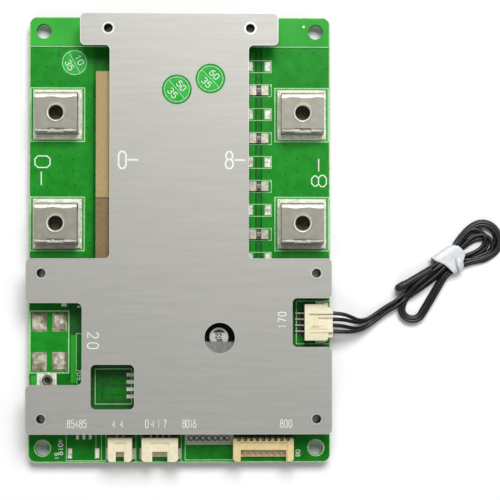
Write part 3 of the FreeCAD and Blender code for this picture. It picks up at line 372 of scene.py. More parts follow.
# The hank's runs: middle of the strands (x, y) and, as (x, y), one millimetre outwards there
BODY_OUT = ((75.6, -18.9, 0.54, -0.84), (78.9, -16.7, 0.54, -0.84), (82.6, -14.1, 0.54, -0.84),
            (86.2, -11.2, 0.56, -0.83), (89.2, -8.7, 0.57, -0.82))
BODY_BACK = ((88.3, -7.9, -0.56, 0.83), (84.9, -11.3, -0.54, 0.84), (81.2, -14.2, -0.54, 0.84),
             (77.8, -16.9, -0.6, 0.8))
LEFT_DOWN = ((75.7, -19.6, -0.92, 0.4), )
LEFT_CENTRE = (77.9, -23.1)
LEFT_RADIUS = 3.55
LEFT_ANGLES = (175, 209, 243, 277, 311, 345)
LEFT_UP = ((82.9, -21.4, 0.84, -0.54), (85.0, -17.8, 0.83, -0.56), (87.0, -14.4, 0.8, -0.6),
           (89.1, -10.9, 0.65, -0.76))
BEAD_END = ((88.0, -7.4, -0.56, 0.83), (85.6, -9.1, -0.49, 0.87), (83.0, -10.67, -0.49, 0.87))

# Each wire's place in those runs: millimetres outwards, and height over the floor
OUT_LANES = ((-0.9, 1.9), (-0.2, 0.72), (1.05, 0.72), (0.6, 1.9))
BACK_LANES = ((-1.1, 3.1), (0.15, 2.9), (1.2, 2.2), (0.7, 3.4))
LOOP_LANES = ((-0.5, 0.72), (0.0, 1.85), (0.5, 0.72), (0.95, 1.8))
BEAD_LANES = ((-0.66, 1.35), (0.66, 1.35), (-0.66, 3.45), (0.66, 3.45))
LANE_SWAY = 0.04
LANE_LIFT = 0.06

# The right-hand folds are drops that start under the tie: the angle of a fold's middle line, its
# length, how far it bulges, how far apart its legs start, and its height over the floor. No two are
# alike, so they cross and leave a narrow eye.
FOLD_START = (91.8, -6.3)
FIRST_FOLDS = ((42, 13.0, 4.7, 0.4, 1.9), (35, 13.4, 4.8, 0.6, 0.72),
               (25, 14.0, 4.8, 0.8, 1.9), (17, 14.2, 4.7, 0.9, 0.72))
SECOND_FOLDS = ((35, 16.2, 5.7, 1.6, 0.72), (31, 16.6, 6.1, 2.2, 1.9),
                (32, 17.9, 6.7, 3.0, 0.72), (33, 17.3, 6.2, 2.6, 1.9))
FOLD_TURNS = range(50, 311, 20)


def strand(stations, lane, shake):
    """One wire's own points along some stations, a little uneven, as wound by hand."""
    sideways, height = lane
    points = []
    for x, y, out_x, out_y in stations:
        off = sideways + shake.uniform(-LANE_SWAY, LANE_SWAY)
        lift = height + shake.uniform(0.0, LANE_LIFT)
        points.append((x + out_x * off, y + out_y * off, lift))
    return points


def left_arc():
    """Stations round the bottom of the left-hand loop."""
    stations = []
    for angle in LEFT_ANGLES:
        turn = radians(angle)
        stations.append((*on_circle(*LEFT_CENTRE, LEFT_RADIUS, turn), cos(turn), sin(turn)))
    return tuple(stations)


def right_fold(fold, shake):
    """Out along the lower side, round, and back along the upper side to the tie."""
    angle, length, bulge, apart, height = fold
    lean = radians(angle)
    points = []
    for degrees in FOLD_TURNS:
        turn = radians(degrees)
        along = length / 2 * (1 - cos(turn))
        aside = -bulge * sin(turn) * sin(turn / 2) ** 1.5 - apart * cos(turn / 2)
        x = FOLD_START[0] + along * cos(lean) - aside * sin(lean)
        y = FOLD_START[1] + along * sin(lean) + aside * cos(lean)
        points.append((x, y, height + shake.uniform(0.0, LANE_LIFT)))
    return points


def wire_route(i):
    shake = random.Random(31 + i)
    points = list(LEADS[i])
    points += strand(BODY_OUT, OUT_LANES[i], shake)
    points += right_fold(FIRST_FOLDS[i], shake)
    points += strand(BODY_BACK, BACK_LANES[i], shake)
    points += strand(LEFT_DOWN + left_arc() + LEFT_UP, LOOP_LANES[i], shake)
    points += right_fold(SECOND_FOLDS[i], shake)
    points += strand(BEAD_END, BEAD_LANES[i], shake)
    return points


def nurbs_wire(name, points):
    curve = bpy.data.curves.new(name, "CURVE")
    curve.dimensions = "3D"
    spline = curve.splines.new("NURBS")
    spline.points.add(len(points) - 1)
    for point, place in zip(spline.points, metres(points)):
        point.co = (*place, 1.0)
    spline.order_u = 3
    spline.use_endpoint_u = True
    spline.resolution_u = 6
    curve.bevel_depth = WIRE_D / 2 * MM
    curve.bevel_resolution = 3
    curve.use_fill_caps = True
    curve.materials.append(MATERIALS["wire"])
    return link(bpy.data.objects.new(name, curve))


def line_length(obj):
    """Length of a curve along the points that Blender gives for its own line, in metres."""
    curve = obj.data.copy()
    curve.bevel_depth = 0.0
    bare = bpy.data.objects.new("line", curve)
    mesh = bpy.data.meshes.new_from_object(bare)
    line = [v.co.copy() for v in mesh.vertices]
    bpy.data.objects.remove(bare)
    return sum((b - a).length for a, b in zip(line, line[1:]))


# Sensor sleeves: tip and mouth of both, then length along the axis, half width and half height
SLEEVE_TIP = ((72.2, -16.7, 1.28), (72.2, -16.7, 3.85))
SLEEVE_MOUTH = ((84.2, -10.0, 1.35), (84.2, -10.0, 3.45))
SLEEVE_STATIONS = (
    (0.0, 0.22, 0.18), (0.1, 0.62, 0.5), (0.35, 0.98, 0.8), (0.8, 1.2, 1.05), (1.6, 1.3, 1.2),
    (2.6, 1.34, 1.26), (3.6, 1.3, 1.18), (4.3, 1.16, 0.95), (5.0, 1.12, 0.84), (6.2, 1.18, 0.82),
    (7.6, 1.21, 0.86), (9.0, 1.2, 0.84), (10.4, 1.26, 0.86), (12.0, 1.3, 0.92), (13.2, 1.33, 0.98),
    (13.55, 1.35, 1.02), (13.72, 1.3, 0.98), (13.66, 1.2, 0.88), (13.0, 1.12, 0.78))
SLEEVE_POINTS = 28
SLEEVE_PINCH = 0.05
PINCHED = range(2, 15)


def sensor_sleeve(i):
    """Heat-shrunk sleeve, drawn tight over the sensor's bulb and the two wires behind it."""
    tip, mouth = Vector(SLEEVE_TIP[i]), Vector(SLEEVE_MOUTH[i])
    along = (mouth - tip).normalized()
    across = Vector((-along.y, along.x, 0.0)).normalized()
    up = along.cross(across) * -1
    shake = random.Random(70 + i)
    vertices = []
    for k, (place, wide, tall) in enumerate(SLEEVE_STATIONS):
        for turn in turns_of(SLEEVE_POINTS):
            pinch = 1.0 - (SLEEVE_PINCH * shake.random() if k in PINCHED else 0.0)
            vertices.append(tip + along * place + across * (wide * pinch * cos(turn))
                            + up * (tall * pinch * sin(turn)))
    faces = tube_faces(len(SLEEVE_STATIONS), SLEEVE_POINTS)
    sleeve = body_piece("sensor_sleeve_" + str(i + 1), "sleeve", vertices, faces)
    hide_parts("sensor_bead_" + str(i + 1))
    return sleeve


# White band round the hank, along it (a) and across it (n) from its middle
TIE_AT = (91.45, -6.6)
ALONG = (0.819, 0.574)
ACROSS = (-0.574, 0.819)

# Both ends of the band as (n, a), and half the band's size across the hank and in height
TIE_LEFT = ((-4.6, -2.6), (-3.69, -2.78), (-0.11, -3.5), (0.79, -3.83), (2.96, -5.4),
            (4.2, -5.75), (5.0, -5.9))
TIE_RIGHT = ((-4.6, 0.9), (-4.27, 1.08), (-2.27, 2.24), (-0.65, 4.5), (2.67, 3.85),
             (4.07, 2.5), (5.0, 0.5))
BAND_MIDDLE = (0.2, 2.26)
BAND_HALF = (4.5, 2.2)
BAND_THICK = 0.14
BAND_POINTS = 48
BAND_STEPS = 12
BAND_SQUARE = 0.6

# The band's loose end: its middle (a, n, z) and half width, and its section (aside, lift)
TIE_TAIL = ((1.6, 0.1, 4.42), (1.1, -1.0, 4.72), (0.75, -2.1, 4.95), (0.5, -3.2, 4.8),
            (0.25, -4.2, 4.1), (0.05, -4.75, 3.0), (0.1, -4.9, 1.8))
TAIL_WIDTHS = (0.9, 1.15, 1.3, 1.25, 1.0, 0.8, 0.6)
TAIL_SECTION = ((-1, 0.0), (-0.35, 0.3), (0.35, 0.05), (1, -0.15))
TAIL_THICK = 0.16


def between(table, value):
    for (n0, a0), (n1, a1) in zip(table, table[1:]):
        if value <= n1:
            share = max(0.0, (value - n0) / (n1 - n0))
            return a0 + (a1 - a0) * share
    return table[-1][1]


def tie_point(a, n, z):
    return (TIE_AT[0] + a * ALONG[0] + n * ACROSS[0], TIE_AT[1] + a * ALONG[1] + n * ACROSS[1], z)


def rounded(half, value):
    """A step round a section that is half ellipse, half rectangle."""
    return half * copysign(abs(value) ** BAND_SQUARE, value)


def hank_band():
    """Soft plastic band wound once round the hank, its ends uneven and its top creased."""
    shake = random.Random(12)
    crease = [shake.uniform(0.0, 0.22) for i in range(BAND_POINTS)]
    vertices, faces = [], []
    for inner in (0, 1):
        for i, turn in enumerate(turns_of(BAND_POINTS)):
            c, s = cos(turn), sin(turn)
            n = BAND_MIDDLE[0] + rounded(BAND_HALF[0] - BAND_THICK * inner, c)
            z = BAND_MIDDLE[1] + rounded(BAND_HALF[1] - BAND_THICK * inner, s)
            left, right = between(TIE_LEFT, n), between(TIE_RIGHT, n)
            for k in range(BAND_STEPS + 1):
                share = k / BAND_STEPS
                dip = crease[i] * sin(pi * share) * (1.0 if s > 0.2 else 0.0)
                wave = 0.06 * sin(5 * share + 0.9 * n)
                top = z - dip - (0.06 + wave if s > 0.2 else 0.0)
                vertices.append(tie_point(left + (right - left) * share, n, max(0.02, top)))
    row = BAND_STEPS + 1
    half = BAND_POINTS * row
    for i in range(BAND_POINTS):
        j = (i + 1) % BAND_POINTS
        for k in range(BAND_STEPS):
            a, b = i * row + k, j * row + k
            faces.append((a, a + 1, b + 1, b))
            faces.append((half + a, half + b, half + b + 1, half + a + 1))
        a, b = i * row, j * row
        faces.append((a, b, half + b, half + a))
        a, b = a + BAND_STEPS, b + BAND_STEPS
        faces.append((a, half + a, half + b, b))
    band = body_piece("hank_band", "tie", vertices, faces)
    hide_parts("hank_tie")

    vertices = []
    for (a, n, z), width in zip(TIE_TAIL, TAIL_WIDTHS):
        for section, down in ((TAIL_SECTION, 0.0), (TAIL_SECTION[::-1], TAIL_THICK)):
            for side, lift in section:
                vertices.append(tie_point(a + side * width, n + 0.12 * side, z + lift - down))
    body_piece("hank_band_tail", "tie", vertices, tube_faces(len(TIE_TAIL), 2 * len(TAIL_SECTION)))


def make_wires():
    for i in range(4):
        wire = nurbs_wire("sensor_strand_" + str(i + 1), wire_route(i))
        length = line_length(wire)
        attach(wire, "root")
        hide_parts("sensor_wire_" + str(i + 1), "sensor_hank")


SLEEVES = [sensor_sleeve(0), sensor_sleeve(1)]
hank_band()
make_wires()


# ---- flat printed detail
DIGIT_W = 4.0
DIGIT_H = 6.0
DIGIT_STROKES = {
    "0": [[(1, 0), (3, 0), (4, 1.2), (4, 4.8), (3, 6), (1, 6), (0, 4.8), (0, 1.2), (1, 0)]],
    "1": [[(0.8, 4.8), (2.2, 6), (2.2, 0)]],
    "2": [[(0, 4.9), (1, 6), (3, 6), (4, 5), (4, 4), (0, 0), (4, 0)]],
    "3": [[(0, 5.2), (1, 6), (3, 6), (4, 5), (4, 4.1), (3, 3.1), (1.5, 3.1)],
          [(3, 3.1), (4, 2.1), (4, 1), (3, 0), (1, 0), (0, 0.9)]],
    "4": [[(3, 0), (3, 6), (0, 2), (4.2, 2)]],
    "5": [[(4, 6), (0.4, 6), (0.2, 3.4), (1.2, 3.8), (3, 3.8), (4, 2.8), (4, 1), (3, 0), (1, 0),
           (0, 0.9)]],
    "6": [[(3.6, 6), (1.4, 5.2), (0, 3), (0, 1), (1, 0), (3, 0), (4, 1), (4, 2.6), (3, 3.5), (1, 3.5),
           (0, 2.6)]],
    "7": [[(0, 6), (4, 6), (1.4, 0)]],
    "8": [[(1, 3.2), (0.2, 4.2), (0.2, 5), (1.2, 6), (2.8, 6), (3.8, 5), (3.8, 4.2), (3, 3.2), (1, 3.2)],
          [(1, 3.2), (0, 2.2), (0, 1), (1, 0), (3, 0), (4, 1), (4, 2.2), (3, 3.2)]],
    "9": [[(0.4, 0), (2.6, 0.8), (4, 3), (4, 5), (3, 6), (1, 6), (0, 5), (0, 3.4), (1, 2.5), (3, 2.5),
           (4, 3.4)]],
}


class Layer:
    """Flat shapes of one material, a few hundredths of a millimetre thick, in millimetres. They
    reach from low to high over the height of their ground."""

    def __init__(self, name, key, slot, ground, low, high):
        self.name, self.key, self.slot = name, key, slot
        self.low, self.high = ground + low, ground + high
        self.vertices, self.faces = [], []
        self.strokes = 0

    def polygon(self, points, lift=0.0):
        """A filled shape; its points run anticlockwise."""
        first = len(self.vertices)
        count = len(points)
        self.vertices += [(x, y, self.high + lift) for x, y in points]
        self.vertices += [(x, y, self.low) for x, y in points]
        self.faces.append([first + i for i in range(count)])
        for i in range(count):
            j = (i + 1) % count
            self.faces.append([first + count + i, first + count + j, first + j, first + i])

    def box(self, x0, y0, x1, y1):
        self.polygon([(x0, y0), (x1, y0), (x1, y1), (x0, y1)])

    def boxes(self, *corners):
        for box in corners:
            self.box(*box)

    def box_with_hole(self, x0, y0, x1, y1, x, y, radius, corner=None):
        """A rectangle with a round hole at (x, y), and with one corner round: (x, y, radius)."""
        corners = [atan2(cy - y, cx - x) % (2 * pi) for cx in (x0, x1) for cy in (y0, y1)]
        rails = []
        for turn in sorted(corners + turns_of(32)):
            c, s = cos(turn), sin(turn)
            reach = min(((x1 if c > 0 else x0) - x) / c if abs(c) > 1e-6 else 1e6,
                        ((y1 if s > 0 else y0) - y) / s if abs(s) > 1e-6 else 1e6)
            outer = (x + reach * c, y + reach * s)
            if corner and (outer[0] - corner[0]) * corner[0] > 0 and outer[1] > corner[1]:
                run = hypot(outer[0] - corner[0], outer[1] - corner[1])
                if run > corner[2]:
                    outer = tuple(b + (a - b) * corner[2] / run for a, b in zip(outer, corner))
            rails.append(((x + radius * c, y + radius * s), outer))
        for (a, b), (c, d) in zip(rails, rails[1:] + rails[:1]):
            self.polygon([a, b, d, c])

    def ribbon(self, corners, closed, left, right, lift=0.0):
        """A band along a line, mitred at its corners, from one offset to its left to another."""
        points = [Vector(corner) for corner in corners]
        last = len(points) - 1
        rails = []
        for i, here in enumerate(points):
            into = (here - points[i - 1]) if closed or i > 0 else (points[1] - here)
            out = (points[(i + 1) % (last + 1)] - here) if closed or i < last else into
            into, out = into.normalized(), out.normalized()
            side = Vector((-into.y - out.y, into.x + out.x))
            side = side / max(0.6, side.length_squared / 2)
            rails.append((here + side * right, here + side * left))
        pairs = list(zip(rails, rails[1:]))
        if closed:
            pairs.append((rails[-1], rails[0]))
        for (a, b), (c, d) in pairs:
            self.polygon([tuple(a), tuple(c), tuple(d), tuple(b)], lift)

    def line(self, points, width):
        """A drawn line. Each one lies a hair over the last, so that crossings stay clean."""
        self.strokes += 1
        closed = points[0] == points[-1]
        corners = points[:-1] if closed else points
        self.ribbon(corners, closed, width / 2, -width / 2, 0.001 * (self.strokes % 7))

    def lines(self, width, *runs):
        for points in runs:
            self.line(points, width)

    def frame(self, x0, y0, x1, y1, width):
        self.line([(x0, y0), (x1, y0), (x1, y1), (x0, y1), (x0, y0)], width)

    def disc(self, x, y, radius, count=24):
        self.polygon([on_circle(x, y, radius, turn) for turn in turns_of(count)])

    def ring(self, x, y, outer, inner, count=40):
        for i in range(count):
            a, b = 2 * pi * i / count, 2 * pi * (i + 1) / count
            self.polygon([on_circle(x, y, inner, a), on_circle(x, y, outer, a),
                          on_circle(x, y, outer, b), on_circle(x, y, inner, b)])

    def digits(self, text, x, y, height, width, angle=0.0, wide=1.0, pitch=0.0):
        """Plain digits, their middle at (x, y), turned by angle in degrees."""
        size = height / DIGIT_H
        step = pitch or DIGIT_W * 1.45 * size * wide
        turn = radians(angle)
        start = -step * (len(text) - 1) / 2
        for i, sign in enumerate(text):
            for stroke in DIGIT_STROKES[sign]:
                placed = []
                for px, py in stroke:
                    across = start + i * step + (px - DIGIT_W / 2) * size * wide
                    up = (py - DIGIT_H / 2) * size
                    placed.append((x + across * cos(turn) - up * sin(turn),
                                   y + across * sin(turn) + up * cos(turn)))
                self.line(placed, width)

    def finish(self):
        body_piece(self.name, self.key, self.vertices, self.faces, smooth=False)


def finish_all(*layers):
    for layer in layers:
        layer.finish()


def board_layer(name, key, low, high):
    """A layer between two heights over the board's top face."""
    return Layer(name, key, "board_laminate", BOARD_TOP, low, high)


def rim_loops(node, height_mm):
    """Closed loops, in millimetres, where a node's flat face at that height ends, each with its
    width. Inside is left."""
    mesh = NODES[node].data
    edges = {}
    for polygon in mesh.polygons:
        corners = [mesh.vertices[i].co / MM for i in polygon.vertices]
        if polygon.normal.z < 0.99 or any(abs(c.z - height_mm) > 0.01 for c in corners):
            continue
        keys = [(round(c.x, 3), round(c.y, 3)) for c in corners]
        for a, b in zip(keys, keys[1:] + keys[:1]):
            if a != b and not edges.pop((b, a), False):
                edges[(a, b)] = True
    follow = {a: b for a, b in edges}
    loops = []
    while follow:
        start = next(iter(follow))
        loop = [start]
        here = follow.pop(start)
        while here != start and here in follow:
            loop.append(here)
            here = follow.pop(here)
        loops.append((loop, max(x for x, y in loop) - min(x for x, y in loop)))
    return loops


TERMINAL_X = 40.6
TERMINAL_YS = (41.4, 5.0)
SQUARE_HALF = 8.9
EYELET = (-43.7, -46.9)
SHUNT_YS = [57.6 - 8.0 * i for i in range(9)]

# The board's own layers: name, material, and both heights over its top face
BOARD_LAYERS = (("painted_shade_patches", "shade", 0.0, 0.01), ("copper_pours", "pour", 0.0, 0.02),
                ("shaded_window_traces", "board", 0.0, 0.02), ("painted_highlight_pours", "pour_highlight", 0.0, 0.02),
                ("mask_gaps", "gap", 0.021, 0.03), ("board_print", "mask_ink", 0.021, 0.045),
                ("board_white_print", "ink", 0.021, 0.05), ("via_dimples", "gap", 0.02, 0.028),
                ("board_rim", "rim", 0.0, 0.012))


def board_layers():
    layers = [board_layer(*row) for row in BOARD_LAYERS]
    shade, pours, traces, pour_highlight, gaps, ink, white, vias, rim = layers

    # Copper under the mask, both sides of the neck and in the two notches; along the top edge and in two
    # strips of the left notch it is drawn lighter, as a painted highlight
    pours.boxes((-49.5, -6.0, -28.9, 63.7), (-27.7, -6.0, -19.0, 56.3), (27.5, -6.0, 49.5, 63.7),
                (19.0, -6.0, 25.1, 61.9), (-49.4, -44.2, -36.9, -24.1))
    for side in (-1, 1):
        x0, x1 = sorted((side * 49.7, side * 19.0))
        pour_highlight.box_with_hole(x0, 64.5, x1, 73.7, side * 45.25, 69.25, 2.5, (side * 46.9, 70.9, 2.8))
    pour_highlight.boxes((-36.0, -47.6, -34.1, -31.9), (-49.2, -52.0, -47.4, -45.2))
    gaps.boxes((25.2, -6.5, 25.5, 63.2), (27.0, -6.5, 27.3, 63.2))
    ink.lines(0.3, [(-49.6, 64.2), (-23.0, 64.2)], [(23.0, 64.2), (49.6, 64.2)])

    # Traces under the square window, drawn in the board's darker green as painted shade, painted shade over
    # the window and the left notch, and the window's outline
    for x, y, height in ((-23.2, -47.4, 1.4), (-25.0, -50.3, 2.2), (-25.2, -52.7, 1.2)):
        traces.box(x, y - height / 2, -16.6, y + height / 2)
    traces.box(-27.4, -54.4, -26.0, -44.0)
    shade.boxes((-29.6, -56.6, -13.8, -40.6), (-36.6, -31.6, -31.2, -20.6))
    ink.frame(-27.9, -54.7, -15.9, -43.1, 0.28)
    for i in range(5):
        white.disc(-21.8 + 0.7 * i, -56.9, 0.16, 8)

    # Squares round the terminals
    for node in TERMINALS:
        x, y = middle_of(node)
        ink.frame(x - SQUARE_HALF, y - SQUARE_HALF, x + SQUARE_HALF, y + SQUARE_HALF, 0.42)

    # Shunt places
    for y in SHUNT_YS:
        ink.frame(21.0, y - 2.0, 30.5, y + 2.0, 0.24)
        ink.box(30.1, y + 1.3, 30.5, y + 1.9)

    # Signs beside the terminals
    white.digits("0", -45.6, 25.7, 5.0, 0.36, -90, wide=1.15)
    white.line([(-46.0, 22.4), (-46.0, 17.9)], 0.36)
    white.digits("8", 46.4, 19.4, 4.9, 0.36, 90, wide=1.15)
    white.line([(46.3, 26.8), (46.3, 22.6)], 0.36)
    white.disc(41.3, 71.0, 0.42)

    # Heater pads and the eyelet's square
    ink.frame(-49.5, -44.4, -36.7, -23.9, 0.4)
    white.box_with_hole(-47.2, -51.5, -40.7, -44.6, *EYELET, 2.6)
    ink.line([(-31.5, -31.4), (-34.2, -31.4), (-34.2, -44.6)], 0.25)
    white.boxes((-39.2, -22.4, -37.4, -21.3), (-34.0, -22.8, -32.6, -22.2))
    white.digits("705", -33.2, -44.9, 1.3, 0.22, -90)
    ink.ring(-33.2, -47.4, 1.0, 0.75, 20)

    # Footprints along the lower edge
    ink.line([(-37.4, -64.0), (-37.4, -73.4), (-24.3, -73.4), (-24.3, -64.0)], 0.22)
    ink.lines(0.2, [(-27.6, -64.0), (-27.6, -69.2)], [(-25.8, -64.0), (-25.8, -73.4)])
    ink.line([(1.9, -63.6), (1.9, -73.2), (17.8, -73.2), (17.8, -63.6)], 0.24)
    ink.lines(0.2, *([(x, -64.4), (x, -73.6)] for x in (-14.4, -12.6, 0.6)))
    white.digits("4019", -39.3, -68.9, 1.4, 0.24, -90)
    white.digits("08", 39.3, -71.0, 1.3, 0.18, -90)
    white.digits("61", -40.6, -71.9, 1.2, 0.2, -90)

    # Outline round the sensor header
    ink.line([(50.0, -20.6), (38.8, -20.6), (38.8, -34.8), (50.0, -34.8)], 0.28)

    # Bare laminate along the board's edge and round its corner holes
    for loop, width in rim_loops("circuit_board", BOARD_TOP):
        if width > 50:
            rim.ribbon(loop, True, 0.3, 0.0)
        elif 4.5 < width < 6.0:
            rim.ribbon(loop, True, 0.35, 0.0)

    # Tented vias: rows over the power copper, kept clear of the terminals
    shake = random.Random(5)
    for side in (-1, 1):
        for row in range(14):
            for column in range(5):
                x = side * (48.0 - 4.4 * column) + shake.uniform(-1.1, 1.1)
                y = 61.5 - 4.9 * row + shake.uniform(-0.9, 0.9)
                near = any(abs(x - side * TERMINAL_X) < 9.6 and abs(y - yy) < 9.6 for yy in TERMINAL_YS)
                if near or abs(x) < 29.5 or shake.random() < 0.25:
                    continue
                vias.disc(x, y, 0.24, 10)
    for row in range(12):
        vias.disc(-28.3, 52.5 - 5.2 * row, 0.26, 10)
    finish_all(*layers)


def spare_pin_rings():
    """Printed band, its white ink greyed as painted shade, and soldered pins' rings of the place that has no
    connector.
    """
    band = board_layer("spare_place_band", "band", 0.0, 0.025)
    band.box(2.0, -68.2, 17.9, -63.0)
    dark = board_layer("spare_pin_surrounds", "moulding", 0.026, 0.035)
    rings = Layer("spare_pin_rings", "tin", "pin_tin", BOARD_TOP, 0.026, 0.06)
    for i in range(7):
        x, y = 3.8 + 2.0 * i, -66.0
        dark.ring(x, y, 0.92, 0.56, 20)
        dark.line([(x - 0.95, -66.9), (x - 0.95, -64.2)], 0.16)
        rings.ring(x, y, 0.56, 0.3, 20)
    finish_all(band, dark, rings)


def sensor_pin_surrounds():
    """Painted shade round the sensor header's pins, painted shadows between them, and painted highlights at
    its two tabs.
    """
    pin_shade = board_layer("sensor_pin_painted_shade", "gap", 0.0, 0.02)
    pin_shade.box(38.0, -31.7, 41.5, -23.5)
    dark_shade = board_layer("sensor_pin_painted_shadows", "painted_black_shade", 0.02, 0.03)
    for i in range(5):
        y = -31.6 + 2.0 * i
        dark_shade.box(38.5 + 0.4 * (i % 2), y - 0.2, 41.4, y + 0.15)
    dots = Layer("sensor_tab_highlights", "lit_solder", "solder", BOARD_TOP, 0.0, 0.08)
    for x, y in ((48.95, -21.6), (48.95, -33.6)):
        dots.disc(x, y, 0.42)
    finish_all(pin_shade, dark_shade, dots)


def plug_ribs():
    """Two low ribs along the plug and its header, each with the shade beside it."""
    roof = top_of("sensor_header_housing")
    ribs = Layer("plug_ribs", "plug", "plug_white", 0.0, top_of("sensor_plug") - 0.05, roof + 0.22)
    ribs.boxes((42.6, -24.7, 50.6, -24.15), (43.0, -30.85, 50.6, -30.0))
    shades = Layer("plug_rib_shades", "amber", "plug_white", roof, 0.0, 0.02)
    for x0, x1, y in ((42.6, 49.0, -24.95), (43.0, 49.0, -30.0), (43.0, 49.0, -31.1), (43.6, 47.6, -28.9)):
        shades.box(x0, y, x1, y + 0.25)
    finish_all(ribs, shades)


def plate_layers():
    figures = Layer("plate_print", "ink", "anodised_plate", PLATE_TOP, 0.0, 0.02)
    figures.digits("0", -18.6, 25.6, 5.5, 0.56, wide=0.66)
    figures.box(-16.9, 25.35, -13.4, 25.9)
    figures.digits("8", 16.4, 25.6, 5.5, 0.56, wide=0.66)
    figures.box(18.0, 25.35, 21.5, 25.9)
    figures.digits("170", 33.7, -26.8, 2.5, 0.3, 90, wide=0.7, pitch=2.0)
    figures.digits("20", -28.0, -33.4, 3.4, 0.34, -90, wide=0.8, pitch=3.4)
    for text, x, pitch in (("85485", -33.2, 1.32), ("44", -19.9, 2.6), ("0417", -7.5, 1.95),
                           ("8016", 3.4, 1.15), ("800", 34.95, 1.42)):
        figures.digits(text, x, -60.5, 2.5, 0.22, wide=0.55, pitch=pitch)
    # Painted highlight along the plate's top edges
    edge = Layer("plate_edge_highlight", "edge_highlight", "anodised_plate", PLATE_TOP, 0.0, 0.012)
    for loop, width in rim_loops("heat_spreader_plate", PLATE_TOP):
        if width > 8:
            edge.ribbon(loop, True, 0.2, 0.0)
    finish_all(figures, edge)


# Round stickers: name, place, height of what carries them, radius, figures and their angle. Each
# has four parts: name, material, and both heights.
STICKERS = (("upper", -0.8, 48.8, PLATE_TOP, 4.9, "50", -50),
            ("right", 10.2, 52.4, PLATE_TOP, 4.9, "60", -45),
            ("board", -35.1, 58.8, BOARD_TOP + 0.02, 4.8, "10", -62))
STICKER_PARTS = (("", "sticker", 0.0, 0.06), ("margin_", "margin", 0.06, 0.065),
                 ("rule_", "mask_ink", 0.06, 0.075), ("marks_", "ink", 0.06, 0.075))


def round_stickers():
    for name, x, y, height, radius, text, angle in STICKERS:
        base, edge, rule, marks = (
            Layer("round_sticker_" + part + name, key, "board_laminate", height, low, high)
            for part, key, low, high in STICKER_PARTS)
        base.disc(x, y, radius, 48)
        edge.ring(x, y, radius * 0.985, radius * 0.86, 48)
        rule.ring(x, y, radius * 0.87, radius * 0.81, 48)
        turn = radians(angle)
        reach = radius * 0.81
        rule.line([on_circle(x, y, -reach, turn), on_circle(x, y, reach, turn)], 0.24)
        for side, word in ((1, text), (-1, "35")):
            marks.digits(word, x - side * 1.85 * sin(turn), y + side * 1.85 * cos(turn),
                         1.9, 0.25, angle)
        finish_all(base, edge, rule, marks)


def standoff_rims():
    """Painted highlight on the clinched end of each standoff."""
    layer = Layer("standoff_rims", "edge_highlight", "standoff_steel", PLATE_TOP, 0.0, 0.03)
    for side in (-1, 1):
        for x, y in STANDOFFS:
            layer.ring(side * x, y, 2.0, 1.5, 40)
    layer.finish()


def sheet_joint_shadow():
    """Painted shadow of the upper sheet along the cut end of the lower one."""
    low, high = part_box("insulation_sheet_lower")
    layer = Layer("sheet_joint_shadow", "seam_shade", "insulation_brown", high.z / MM, 0.0, 0.02)
    x0, x1, y = low.x / MM, min(-22.9, high.x / MM), high.y / MM
    layer.box(x0, y - 0.5, x1, y - 0.1)
    layer.finish()


def terminal_hole_shade():
    """Painted shade: a dark brown disc on the board at the foot of each terminal's thread, seen down its
    hole.
    """
    layer = Layer("terminal_hole_shade", "dark_shade", "solder", BOARD_TOP, 0.02, 0.08)
    for side in (-1, 1):
        for y in TERMINAL_YS:
            layer.disc(side * TERMINAL_X, y, 3.1)
    layer.finish()


# Collar rims: radius and height over the terminal's top, from the hole outwards. The first bands
# carry a painted highlight. Each rim is a little out of round, by its own seed.
RIM_PROFILE = ((2.42, -0.45), (2.52, -0.16), (2.66, 0.02), (2.88, 0.05), (3.08, 0.03), (3.5, 0.005))
RIM_HIGHLIGHTED = 3
RIM_POINTS = 48
RIM_WAVES = 12
RIM_SEEDS = (100, 64, 182, 145)


def collar_rims():
    """Where the collar was drawn down, the sheet's edge turns into the hole; its inner bands carry a painted
    highlight.
    """
    steps = len(RIM_PROFILE)
    for node, seed in zip(TERMINALS, RIM_SEEDS):
        x, y = middle_of(node)
        top = top_of(node)
        shake = random.Random(seed)
        wave = [shake.uniform(-0.1, 0.1) for i in range(RIM_WAVES)]
        vertices, faces = [], []
        for i, turn in enumerate(turns_of(RIM_POINTS)):
            place = i / RIM_POINTS * RIM_WAVES
            j = int(place)
            uneven = wave[j] + (wave[(j + 1) % RIM_WAVES] - wave[j]) * (place - j)
            for k, (radius, lift) in enumerate(RIM_PROFILE):
                r = radius + (uneven if k in (RIM_HIGHLIGHTED, RIM_HIGHLIGHTED + 1) else 0.0)
                vertices.append((*on_circle(x, y, r, turn), top + lift))
            for k in range(steps - 1):
                a = i * steps + k
                b = (i + 1) % RIM_POINTS * steps + k
                faces.append((a, a + 1, b + 1, b))
        rim = body_piece("rim_of_" + node, "terminal_highlight", vertices, faces)
        rim.data.materials.append(MATERIALS["terminal"])
        for i, face in enumerate(rim.data.polygons):
            face.material_index = 0 if i % (steps - 1) < RIM_HIGHLIGHTED else 1


def eyelet_depth():
    """Painted shade in the depth of the soldered eyelet, and a ring of painted shade round its mouth."""
    layer = Layer("eyelet_depth", "painted_black_shade", "solder", 0.0, 2.6, 3.4)
    layer.disc(*EYELET, 1.5)
    ring = Layer("eyelet_shade", "dark_shade", "solder", top_of("wire_eyelet"), 0.0, 0.02)
    ring.ring(*EYELET, 1.9, 1.16, 32)
    finish_all(layer, ring)


def surface_height(node, x, y):
    """Height of a CAD piece under a point, looking down, in millimetres."""
    hit, place = NODES[node].ray_cast(Vector((x * MM, y * MM, 1.0)), Vector((0, 0, -1)))[:2]
    return place.z / MM if hit else BOARD_TOP


STRIP_POINTS = 5
STRIP_LIFT = 0.03


